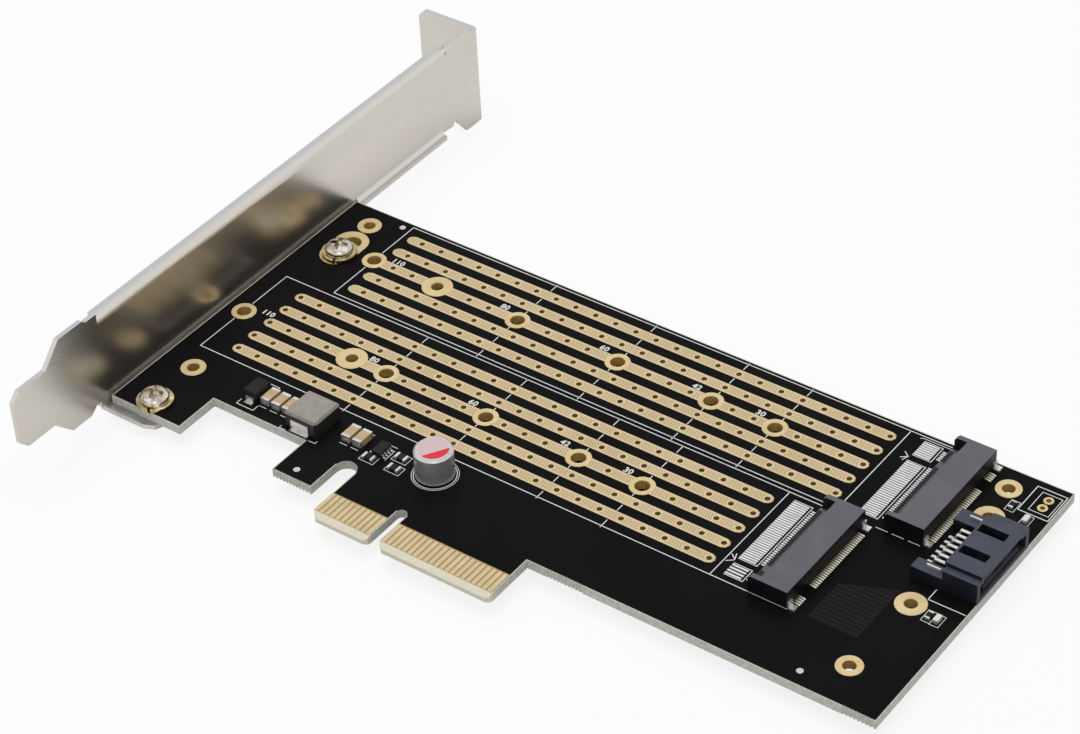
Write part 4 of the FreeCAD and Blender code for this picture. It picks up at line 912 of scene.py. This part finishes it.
@dataclass
class Board(Assembly):
    """The laminate: outline, notches, drilled holes, snapped edges and a pale rim round the lacquer."""

    rim: float = 0.16
    bite: float = 0.26
    bite_pitch: float = 0.66
    bite_runs: tuple[tuple[Point, int], ...] = (((-56.1, 4.62), 8), ((-22.9, 4.92), 11), ((26.1, 9.82), 10),
                                                ((77.6, 9.82), 8))
    hook_end: Place = (-13.75, 11.2, 0.0)
    hook_radius: float = 1.9
    key_end: Place = (0.0, 7.7, 0.0)
    key_radius: float = 0.95
    edge: tuple[Point, ...] = (
        (-56.65, 4.65), (-42.3, 4.65), (-42.3, 13.05), (-23.35, 13.05), (-23.35, 4.95), (-15.65, 4.95),
        (-15.65, 11.2), (-11.85, 11.2), (-11.85, 1.1), (-10.75, 0.0), (-1.5, 0.0), (-0.95, 0.55),
        (-0.95, 7.7), (0.95, 7.7), (0.95, 1.1), (2.05, 0.0), (21.6, 0.0), (22.15, 0.55), (22.15, 9.85),
        (82.8, 9.85), (82.8, 67.65), (-56.65, 67.65))
    chamfer: tuple[Point, Point] = ((-14.0, -0.5), (25.0, 1.1))
    chamfer_deep: float = 0.4

    def drill(self, place: Place, radius: float, sides: int = 48) -> Piece:
        """A round tool that goes right through the board."""
        x, y, _ = place
        return Bench.rod((x, y, -BOARD_THICK - 1.0), radius, BOARD_THICK + 2.0, sides)

    def drills(self) -> list[Piece]:
        """Returns the tools of every hole, round notch and half-round bite left by the panel's tabs."""
        tools = [self.drill(place, kind.drill, kind.drill_sides) for kind in HOLES for place in kind.places]
        tools += [self.drill(self.hook_end, self.hook_radius), self.drill(self.key_end, self.key_radius),
                  self.drill(NEAR_SCREW, SLOT_RADIUS)]
        return tools + [self.drill((x + i * self.bite_pitch, y, 0.0), self.bite, 12)
                        for (x, y), count in self.bite_runs for i in range(count)]

    def blank(self) -> Piece:
        """Returns the undrilled board, its rim split off from the lacquered faces."""
        plate = Bench.prism(self.edge, 0.0, -BOARD_THICK)
        Bench.pick(plate, lambda face: abs(face.normal.z) > 0.9)
        bpy.ops.mesh.inset(thickness=self.rim * MM, depth=0.0, use_even_offset=True)
        Bench.clear()
        self.shop.add(plate, Paints.MASK, Paints.LAMINATE)
        lacquered = {face.index for face in sorted(plate.data.polygons, key=lambda f: -f.area)[:2]}
        for face in plate.data.polygons:
            face.material_index = 0 if face.index in lacquered else 1
        return plate

    def chamfer_tool(self, z: float, deep: float, out: float) -> Piece:
        """The wedge that chamfers one long edge of the connector.

        Args:
            z: the board's face.
            deep: how far it cuts below that face at the tip.
            out: how far it reaches beyond the face.

        Returns:
            The tool.
        """
        (left, low), (right, top) = self.chamfer
        made = Bench.prism(((left, low), (right, low), (right, top), (left, top)), z, out)
        for vertex in made.data.vertices:
            if abs(vertex.co.z - z * MM) < 1e-7:
                vertex.co.z -= deep / top * (top - vertex.co.y / MM) * MM
        return Bench.outward(made)

    def build(self) -> None:
        """Builds and dresses the board; every face that isn't level shows the laminate."""
        plate = self.blank()
        drill = Bench.join(self.drills(), "drill")
        self.shop.add(drill, Paints.LAMINATE)
        Bench.carve(plate, drill)
        low, high = SLOT_ENDS
        for y in SLOT_ENDS:
            Bench.carve(plate, self.drill((SLOT_X, y, 0.0), SLOT_RADIUS))
        Bench.carve(plate, Bench.slab((SLOT_X - SLOT_RADIUS, low, -3.0), (SLOT_X + SLOT_RADIUS, high, 1.0)))
        Bench.carve(plate, self.chamfer_tool(0.0, self.chamfer_deep, 1.0))
        Bench.carve(plate, self.chamfer_tool(-BOARD_THICK, -self.chamfer_deep, -1.0))
        Bench.settle(plate, "drilled_board")
        for face in plate.data.polygons:
            if abs(face.normal.z) < 0.95:
                face.material_index = 1
        self.hand_over(plate, "solder_mask", stands_for=["circuit_board"])


# ---------------------------------------------------------------- plated copper


@dataclass
class Plating(Assembly):
    """Round pads, hole walls, vias, alignment dots and the long pad of the far bracket screw."""

    lift: float = 0.075
    lip: float = 0.14
    lip_rises: Point = (0.022, -0.05)
    sunk: float = 0.012
    slant: float = 0.05
    wall: float = 0.05
    via_radius: float = 0.76
    via_lift: float = 0.052
    via_steps: tuple[Point, ...] = ((0.06, 0.02), (0.16, 0.0), (0.06, -0.018))
    via_floor: Point = (0.14, 0.004)
    via_pitch: float = 4.0
    via_clear: float = 3.1
    dot_radius: float = 0.55
    long_radius: float = 3.05
    long_lift: float = 0.07
    long_off: float = 0.2

    def pad(self, place: Place, inner: float, outer: float, sides: int) -> Piece:
        """A flat ring with a softly raised lip at its hole, on the component face."""
        made = Bench.disc(place, outer, sides)
        Bench.pull(0, 0, self.lift)
        Bench.widen((outer - self.slant) / outer, (place[0], place[1], self.lift))
        Bench.inset(outer - self.slant - inner - self.lip, -self.sunk)
        for rise in self.lip_rises:
            Bench.inset(self.lip / 2, rise)
        Bench.pull(0, 0, -self.lift - 0.1)
        bpy.ops.mesh.delete(type="FACE")
        Bench.settle(made)
        Bench.pick(made, lambda face: abs(face.normal.z) > 0.9 and abs(face.center.z) < 1e-6)
        bpy.ops.mesh.delete(type="FACE")
        Bench.clear()
        return made

    def barrel(self, place: Place, radius: float, sides: int) -> Piece:
        """The plated wall of a hole, right through the board."""
        made = Bench.disc((place[0], place[1], -BOARD_THICK - 0.04), radius, sides)
        bpy.ops.mesh.delete(type="ONLY_FACE")
        Bench.choose("EDGE")
        Bench.pull(0, 0, BOARD_THICK + 0.08)
        Bench.settle(made)
        return Bench.modify(made, "SOLIDIFY", thickness=self.wall * MM, offset=1.0)

    def both_faces(self, top: Piece, paint: Optional[Paints], stands_for: Sequence[str] = (),
                   sunk: float = 0.0) -> None:
        """Hands over a piece of the component face, and its mirror image on the board's back.

        Args:
            top: the piece.
            paint: its finish, where it has none yet.
            stands_for: solids that it replaces.
            sunk: how much deeper the mirror image sits.
        """
        name = top.name
        move = Matrix.Translation((0, 0, (sunk - BOARD_THICK) * MM)) @ Matrix.Diagonal((1, 1, -1, 1))
        low = Bench.settle(Bench.twin(top, move), name + "_back")
        Bench.edit(low, "FACE")
        bpy.ops.mesh.flip_normals()
        Bench.clear()
        self.hand_over(top, "gold_plate", paint, stands_for)
        self.hand_over(low, "gold_plate", paint)

    def pads(self) -> None:
        """Pads of both drive rows, of the loose holes and of the pin header."""
        for name, kinds, stands_for in (("drive_pads", (FIXINGS, CENTRES), ()),
                                        ("loose_pads", (CORNERS, SINKS), ("tooling_rings",)),
                                        ("pin_pads", (PINS,), ("header_rings",))):
            rings = [self.pad(place, kind.inner, kind.outer, kind.pad_sides)
                     for kind in kinds for place in kind.places]
            self.both_faces(Bench.smooth(Bench.outward(Bench.join(rings, name))), Paints.GOLD, stands_for)

    def walls(self) -> None:
        """Walls of every plated hole, and of the long one under the far bracket screw."""
        tubes = [self.barrel(place, kind.wall, kind.wall_sides) for kind in HOLES for place in kind.places]
        slot = Bench.line(round_ended(SLOT_X, SLOT_RADIUS - self.wall, 14), -BOARD_THICK, True)
        Bench.pull(0, 0, BOARD_THICK + 0.04)
        Bench.settle(slot)
        tubes.append(Bench.modify(slot, "SOLIDIFY", thickness=self.wall * MM, offset=0.0))
        walls = Bench.smooth(Bench.outward(Bench.join(tubes, "hole_walls")))
        self.hand_over(walls, "gold_plate", Paints.BARREL)

    def via(self) -> Piece:
        """One via at the origin: a thin raised ring round a shallow hollow painted dark as the shade of its
        hole.
        """
        made = Bench.disc((0.0, 0.0, 0.0), self.via_radius, 16)
        self.shop.add(made, Paints.GOLD, Paints.VIA)
        Bench.lift(self.via_lift)
        for wide, rise in self.via_steps:
            Bench.inset(wide, rise)
        # The hollow gets the dark colour, a painted shade of the hole.
        made.active_material_index = 1
        bpy.ops.object.material_slot_assign()
        Bench.inset(*self.via_floor)
        return Bench.settle(made)

    def via_spots(self) -> list[Place]:
        """Returns the vias' places: an even grid along the strips, but none where a pad lies."""
        pads = FIXINGS.places + CENTRES.places
        spots = []
        for row in DRIVES:
            count = int((row.last_via - row.first_via) / self.via_pitch + 1.01)
            for strip in STRIPS:
                for i in range(count):
                    x, y = row.first_via + self.via_pitch * i, row.axis + strip
                    if all(math.hypot(x - pad[0], y - pad[1]) > self.via_clear for pad in pads):
                        spots.append((x, y, 0.0))
        return spots

    def dots(self) -> None:
        """Alignment dots."""
        made = []
        for place in DOTS:
            dot = Bench.disc(place, self.dot_radius, 28)
            Bench.pull(0, 0, 0.05)
            Bench.inset(0.06, 0.015)
            made.append(Bench.settle(dot))
        joined = Bench.outward(Bench.join(made, "alignment_dots"))
        self.hand_over(joined, "gold_plate", Paints.DOT, ["fiducial_dots"])

    def long_pad(self) -> None:
        """The long pad under the far bracket screw, a little off its hole."""
        pad = Bench.sheet(round_ended(SLOT_X - self.long_off, self.long_radius, 20), 0.0)
        Bench.pull(0, 0, self.long_lift)
        Bench.inset(0.12, -self.sunk)
        pad = Bench.outward(Bench.settle(pad))
        Bench.carve(pad, Bench.prism(round_ended(SLOT_X, SLOT_RADIUS, 20), -1.0, 2.0))
        self.hand_over(Bench.settle(pad, "screw_pad"), "gold_plate", Paints.GOLD, ["oval_screw_ring"])

    def build(self) -> None:
        """Builds all the plating."""
        self.pads()
        self.walls()
        vias = Bench.smooth(Bench.spread(self.via(), self.via_spots(), "via_rims"), 50.0)
        self.both_faces(vias, None, sunk=0.05)
        self.dots()
        self.long_pad()


# ---------------------------------------------------------------- printed legend


@dataclass
class Legend(Assembly):
    """White print on the lacquer: boxes round the drive rows, ticks, numbers and small outlines."""

    bold: float = 0.16
    plain: float = 0.14
    thin: float = 0.12
    hair: float = 0.1
    high: float = 0.02
    foot: float = -0.006
    tall: float = 1.587
    ring: float = 2.3
    label_rise: float = 1.25
    label_before: float = 4.6
    label_after: float = 2.6
    tick_rows: tuple[float, ...] = (-10.3, -6.0, -2.0, 2.0, 6.0, 10.3)
    picture_long: float = 3.3
    bar_pitch: float = 0.5
    bar_wide: float = 0.37
    picture_spots: tuple[Place, ...] = ((48.2, 27.6, 43.2), (48.2, 23.6, 26.4), (57.6, 46.4, 60.6),
                                        (57.6, 62.1, 65.9))
    arrows: tuple[tuple[Point, ...], ...] = (
        ((46.9, 27.9), (47.9, 27.1), (47.5, 28.3)), ((46.9, 26.1), (47.9, 26.9)),
        ((56.3, 60.6), (57.3, 61.4), (56.9, 60.2)), ((56.3, 62.2), (57.3, 61.4)))
    brackets: tuple[tuple[Point, ...], ...] = (
        ((-28.9, 13.9), (-28.9, 13.3), (-27.6, 13.3)), ((-21.6, 13.9), (-21.6, 13.3), (-22.9, 13.3)),
        ((-13.2, 19.5), (-9.9, 19.5)), ((-9.9, 16.2), (-9.9, 18.8)))
    drawn: list[Piece] = field(default_factory=list)

    def draw(self, *points: Point, wide: Optional[float] = None, closed: bool = False) -> None:
        """Draws one printed line."""
        self.drawn.append(Bench.stroke(points, wide or self.bold, self.foot, self.high - self.foot, closed))

    def box(self, left: float, low: float, right: float, top: float, wide: Optional[float] = None) -> None:
        """Draws a printed rectangle."""
        self.draw((left, low), (right, low), (right, top), (left, top), wide=wide, closed=True)

    def circle(self, x: float, y: float, radius: float, wide: Optional[float] = None) -> None:
        """Draws a printed circle."""
        turns = [2 * math.pi * i / 40 for i in range(40)]
        points = [(x + radius * math.cos(t), y + radius * math.sin(t)) for t in turns]
        self.draw(*points, wide=wide, closed=True)

    def word(self, text: str, x: float, y: float) -> None:
        """Prints plain figures, standing on a point at the left."""
        Bench.clear()
        bpy.ops.object.text_add(location=(x * MM, y * MM, self.foot * MM))
        sign = bpy.context.object
        sign.data.body = text
        sign.data.size = self.tall * MM
        sign.data.extrude = (self.high - self.foot) * MM
        sign.data.offset = 0.04 * MM
        sign.data.resolution_u = 3
        sign.data.space_character = 1.06
        bpy.ops.object.convert(target="MESH")
        self.drawn.append(Bench.settle(bpy.context.object))

    def drive_boxes(self) -> None:
        """Boxes round the two rows of strips, broken where their farthest pads lie."""
        near, far = B_ROW.axis - self.ring, B_ROW.axis + self.ring
        self.draw((54.6, 45.25), (-43.6, 45.25), (-43.6, near))
        self.draw((-43.6, far), (-43.6, 66.9), (62.0, 66.9))
        self.draw((54.6, 45.25), (54.6, 66.9))
        self.draw((56.7, 66.1), (57.0, 66.4), (62.1, 66.4), wide=self.thin)
        for x in (61.6, 64.4, 67.2):
            self.draw((x, 44.72), (x + 2.1, 44.72), wide=self.plain)
        near, far = M_ROW.axis - self.ring, M_ROW.axis + self.ring
        self.draw((45.3, 44.4), (-53.1, 44.4), (-53.1, far))
        self.draw((-53.1, near), (-53.1, 22.3), (60.2, 22.3))
        self.draw((45.3, 44.4), (52.4, 44.4))
        self.draw((46.6, 22.3), (46.6, 44.4))

    def lengths(self) -> None:
        """A number beside each fixing hole, and a column of ticks at all but the farthest."""
        for row in DRIVES:
            for length in LENGTHS[:-1]:
                x = row.line - length
                self.word(str(length), x - self.label_before, row.axis + self.label_rise)
                for gap in self.tick_rows:
                    y, reach = row.axis + gap, 0.75 if abs(gap) < 8 else 0.95
                    self.draw((x, y - reach), (x, y + reach))
            last = LENGTHS[-1]
            self.word(str(last), row.line - last + self.label_after, row.axis + self.label_rise)

    def card_picture(self, left: float, low: float, top: float) -> None:
        """A little picture of a drive's contacts: an outline filled with fine bars."""
        right = left + self.picture_long
        self.draw((left, low), (right, low), (right, top), (left, top), wide=self.plain)
        span = top - low - 0.8
        count = int(span / self.bar_pitch)
        for i in range(count + 1):
            y = low + 0.4 + i * span / count
            self.draw((left, y), (right - 0.42, y), wide=self.bar_wide)

    def pictures(self) -> None:
        """Contact pictures beside both sockets, each pair with an arrow at its gap."""
        for left, low, top in self.picture_spots:
            self.card_picture(left, low, top)
        for points in self.arrows:
            self.draw(*points)

    def small_parts(self) -> None:
        """Outlines round the small parts and the pin header."""
        self.box(77.3, 59.9, 82.4, 66.2)
        self.box(78.6, 60.8, 82.0, 65.4, self.thin)
        self.draw((76.2, 35.4), (82.5, 35.4))
        self.draw((76.2, 35.4), (76.2, 37.9))
        can = Paints.CAN.value.middle
        self.circle(*can, 3.43)
        self.circle(*can, 3.75, self.hair)
        for x in (-34.3, -32.1, -29.9, -17.8, -15.6):
            for y in (15.7, 20.0):
                self.draw((x - 0.75, y), (x + 0.75, y), wide=self.thin)
        for foot, top in ((15.5, 14.2), (19.7, 20.9)):
            self.draw((-38.5, foot), (-38.5, top), (-35.1, top), (-35.1, foot), wide=self.plain)
        for points in self.brackets:
            self.draw(*points, wide=self.thin)
        for x, y in ((-12.25, 15.2), (-7.9, 17.9), (-7.3, 15.3)):
            self.box(x - 1.4, y - 0.95, x + 1.4, y + 0.95, self.hair)
        for x, y in ((76.3, 60.1), (78.2, 32.3), (79.65, 32.2), (79.65, 58.2)):
            self.box(x - 0.75, y - 1.25, x + 0.75, y + 1.25, self.hair)

    def build(self) -> None:
        """Prints everything as one piece."""
        self.drive_boxes()
        self.lengths()
        self.pictures()
        self.small_parts()
        legend = Bench.outward(Bench.join(self.drawn, "printed_legend"))
        self.hand_over(legend, None, Paints.INK)


# ---------------------------------------------------------------- bracket screws


@dataclass
class Screws(Assembly):
    """Two domed screws with crossed recesses, each on a split spring washer."""

    spots: tuple[Place, ...] = (NEAR_SCREW, (-49.6, 54.2, Plating.long_lift))
    head: float = 2.42
    chin: float = 0.16
    dome: tuple[Point, ...] = ((0.0, 0.16), (0.0, 0.62), (0.16, 0.95), (0.5, 1.28), (1.0, 1.53), (1.6, 1.68),
                               (2.07, 1.75))
    shank: float = 1.45
    length: float = 3.6
    recess_long: float = 1.62
    recess_half: float = 0.42
    recess_turn: float = 18.0
    washer: float = 3.05
    bore: float = 1.6
    washer_thick: float = 0.7

    def screw(self) -> Piece:
        """One screw at the origin, its head seated on the washer.

        The dome is drawn up in steps: how far each lies in from the head's rim, and how high.
        """
        shank = Bench.disc((0.0, 0.0, -self.length), self.shank, 40)
        Bench.pull(0, 0, self.length + self.washer_thick)
        Bench.inset(-0.01)
        Bench.settle(shank)
        radius, before = self.head - self.chin, 0.0
        head = Bench.disc((0.0, 0.0, self.washer_thick), radius, 48)
        for step, high in self.dome:
            Bench.pull(0, 0, high - before)
            Bench.widen((self.head - step) / radius, (0.0, 0.0, self.washer_thick + high))
            radius, before = self.head - step, high
        head = Bench.outward(Bench.settle(head))
        self.shop.add(head, Paints.SCREW)
        long, half = self.recess_long, self.recess_half
        for turn in (0.0, 90.0):
            slot = Bench.slab((-long, -half, self.washer_thick + 0.35), (long, half, 3.2))
            self.shop.add(Bench.turn(slot, 0.0, turn + self.recess_turn), Paints.RECESS)
            Bench.carve(head, slot)
        Bench.chamfer(head, 0.05, 1, 50.0)
        return Bench.join([head, shank], "screw")

    def split_washer(self) -> Piece:
        """One spring washer at the origin, with a slanting cut."""
        made = Bench.rod((0.0, 0.0, 0.0), self.washer, self.washer_thick, 56)
        Bench.carve(made, Bench.rod((0.0, 0.0, -1.0), self.bore, 3.0, 40))
        Bench.carve(made, Bench.turn(Bench.slab((0.5, -0.22, -1.0), (4.0, 0.22, 2.0)), 28.0, -62.0))
        return Bench.chamfer(made, 0.1, 2, 40.0)

    def build(self) -> None:
        """Builds and dresses screws and washers."""
        screws = Bench.smooth(Bench.spread(self.screw(), self.spots, "domed_screws"), 32.0)
        self.hand_over(screws, "nickel_screw", stands_for=["bracket_screws"])
        washers = Bench.smooth(Bench.spread(self.split_washer(), self.spots, "split_washers"), 40.0)
        self.hand_over(washers, "nickel_screw", Paints.WASHER, ["spring_washers"])


# ---------------------------------------------------------------- sockets


@dataclass
class DriveSocket(Assembly):
    """Fine forms of one drive socket: solder feet before it, the painted shade of its comb's gaps, and the
    legs behind it.
    """

    row: DriveRow
    pitch: float = 0.5
    contacts: int = 37
    comb_clear: float = 0.75
    foot_clear: float = 1.04
    leg_clear: float = 1.3
    leg_wide: float = 0.26
    foot_half: float = 0.1
    tooth: Place = (0.75, 0.13, 0.05)
    sill: float = 0.94

    def box(self, part: str) -> tuple[Place, Place]:
        """Returns the corners of one of the socket's solids, in millimetres."""
        return tuple(tuple(v / MM for v in corner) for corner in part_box(self.row.socket + part))

    def steps(self, first: Optional[float], clear: float) -> list[float]:
        """Returns the contacts' places along the socket, with a gap at its key.

        Args:
            first: the first one's; without it they lie evenly about the row's axis.
            clear: half the gap.

        Returns:
            Their y.
        """
        if first is None:
            first = self.row.axis - (self.contacts - 1) * self.pitch / 2
        places = [first + i * self.pitch for i in range(self.contacts)]
        return [y for y in places if abs(y - self.row.key) > clear]

    def comb(self) -> Piece:
        """Painted shade of the comb's gaps: dark blocks on the sill before the hood, one at each contact."""
        low, _ = self.box("_socket_housing")
        long, half, high = self.tooth
        model = Bench.slab((0.0, -half, 0.0), (long, half, high))
        Bench.edit(model, "EDGE")
        bpy.ops.mesh.bevel(offset=0.02 * MM, segments=1)
        Bench.settle(model)
        spots = [(low[0] + 0.06, y, self.sill) for y in self.steps(None, self.comb_clear)]
        return Bench.spread(model, spots, self.row.socket + "_comb")

    def rear_legs(self) -> Piece:
        """Legs behind the housing: straight down from the wall to a toe on the board."""
        low, high = self.box("_rear_contacts")
        out = high[0] - low[0]
        side = ((0.0, 0.26), (0.0, 0.1), (out - 0.3, 0.0), (out, 0.0), (out, 0.07), (out - 0.2, 0.14))
        leg = Bench.turn(Bench.prism(side, 0.0, self.leg_wide), 90.0, 0.0)
        spots = [(low[0], y + self.leg_wide / 2, 0.0) for y in self.steps(low[1] + 0.12, self.leg_clear)
                 if y < high[1]]
        return Bench.spread(leg, spots, self.row.socket + "_rear_legs")

    def front_feet(self) -> Piece:
        """Bright solder feet before the sill, narrower than the gaps between them."""
        low, high = self.box("_front_contacts")
        foot = Bench.slab((0.0, -self.foot_half, 0.0), (high[0] - low[0], self.foot_half, high[2] - low[2]))
        Bench.modify(foot, "BEVEL", width=0.05 * MM, segments=1)
        spots = [(low[0], y, 0.0) for y in self.steps(None, self.foot_clear)
                 if low[1] - 0.05 < y < high[1] + 0.05]
        return Bench.spread(foot, spots, self.row.socket + "_front_feet")

    def build(self) -> None:
        """Builds and dresses the fine forms."""
        name = self.row.socket
        self.hand_over(self.front_feet(), "tinned_contact", Paints.TOE, [name + "_front_contacts"])
        # The comb's gaps are dark blocks, a painted shade.
        self.hand_over(self.comb(), "socket_plastic", Paints.BLACK)
        self.hand_over(self.rear_legs(), "tinned_contact", Paints.LEG, [name + "_rear_contacts"])


# ---------------------------------------------------------------- light and camera


@dataclass
class Studio:
    """A plain white room with soft light, and the camera."""

    floor_z: float = -3.99
    floor_size: float = 6.0
    floor_glow: float = 0.85
    room_light: float = 0.42
    fade: float = 0.7
    shaded: tuple[tuple[Point, Point], ...] = (((-47.0, 24.0), (74.0, 61.8)), ((-57.0, 35.2), (-54.2, 38.0)),
                                               ((-54.6, 59.6), (-51.0, 61.8)))
    eye: Place = (0.237966, -0.261343, 0.315894)
    right: Place = (0.80797612, 0.58777506, -0.04117115)
    down: Place = (0.34332154, -0.52642492, -0.77782204)
    ahead: Place = (-0.47885791, 0.61432669, -0.6271346)
    lens: float = 104.44
    target: Place = (0.0, 0.03, 0.0)

    def camera(self) -> None:
        """Sets the camera."""
        data = bpy.data.cameras.new("view")
        data.lens = self.lens
        data.sensor_width = 36.0
        data.clip_start = 0.01
        data.clip_end = 20.0
        eye = bpy.data.objects.new("view", data)
        turn = Matrix((self.right, tuple(-v for v in self.down), tuple(-v for v in self.ahead))).transposed()
        eye.matrix_world = Matrix.Translation(self.eye) @ turn.to_4x4()
        bpy.context.scene.collection.objects.link(eye)
        bpy.context.scene.camera = eye

    def lamp(self, name: str, place: Place, size: float, power: float, mirrored: bool) -> None:
        """Adds one soft lamp.

        Args:
            name: its name.
            place: where it hangs; it looks at the card.
            size: its width in metres.
            power: its power in watts.
            mirrored: whether metal mirrors it.
        """
        data = bpy.data.lights.new(name, "AREA")
        data.shape = "DISK"
        data.size = size
        data.energy = power
        lamp = bpy.data.objects.new(name, data)
        lamp.visible_glossy = mirrored
        lamp.location = place
        aim = Vector(self.target) - Vector(place)
        lamp.rotation_euler = aim.to_track_quat("-Z", "Y").to_euler()
        bpy.context.scene.collection.objects.link(lamp)

    def floor(self) -> None:
        """White floor that keeps the shadow; it doesn't glow where the card's open holes show it."""
        Bench.clear()
        bpy.ops.mesh.primitive_plane_add(size=self.floor_size, location=(0.0, 0.0, self.floor_z * MM))
        floor = bpy.context.object
        floor.name = "floor"
        sheet = PaintSheet("floor_white")
        cloud = sheet.noise(60.0).ramp(0.3, 0.7)
        sheet.wear(Base_Color=sheet.mix(cloud, (0.82, 0.82, 0.82), (0.8, 0.8, 0.8)), Roughness=0.9)
        glow = sheet.node("ShaderNodeEmission", None, {"Color": WHITE, "Strength": 1.0})
        x, y, _ = sheet.axes
        under = 0.0
        for (left, low), (right, high) in self.shaded:
            under = under + x.within(left, right, self.fade) * y.within(low, high, self.fade)
        sheet.show(sheet.ray("Is Camera Ray") * self.floor_glow * (1.0 - under), sheet.shader, glow)
        floor.data.materials.append(sheet.owner)
        floor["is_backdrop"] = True

    def room(self) -> None:
        """A world that looks white, to the camera and in metal, and lights the card softly."""
        sheet = Sheet(bpy.data.worlds.new("room"), "ShaderNodeOutputWorld")
        light, white = (sheet.node("ShaderNodeBackground", None, {"Color": WHITE, "Strength": strength})
                        for strength in (self.room_light, 1.0))
        sheet.show(sheet.ray("Is Camera Ray").most(sheet.ray("Is Glossy Ray")), light, white)
        bpy.context.scene.world = sheet.owner

    def build(self) -> None:
        """Sets up the whole room."""
        self.floor()
        self.room()
        self.camera()
        self.lamp("overhead", (-0.12, 0.12, 0.85), 0.9, 6.0, False)
        self.lamp("fill", (0.5, -0.6, 0.55), 0.5, 0.9, True)
        bpy.context.scene.view_settings.view_transform = "Standard"


def plain(box: Iterable[Iterable[float]]) -> list[list[float]]:
    """Returns a box as plain lists of numbers."""
    return [[float(v) for v in corner] for corner in box]


def main() -> None:
    """Builds the card's pieces in order."""
    shop = PaintShop()
    Studio().build()
    shop.dress_cad()
    for part in (Board(shop), Plating(shop), Legend(shop), Screws(shop), DriveSocket(shop, M_ROW),
                 DriveSocket(shop, B_ROW)):
        part.build()
    {"cad": plain(CAD_BOX), "visual": plain(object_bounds())}


if __name__ == "__main__":
    logging.basicConfig(level=logging.INFO, format="%(message)s")
    main()
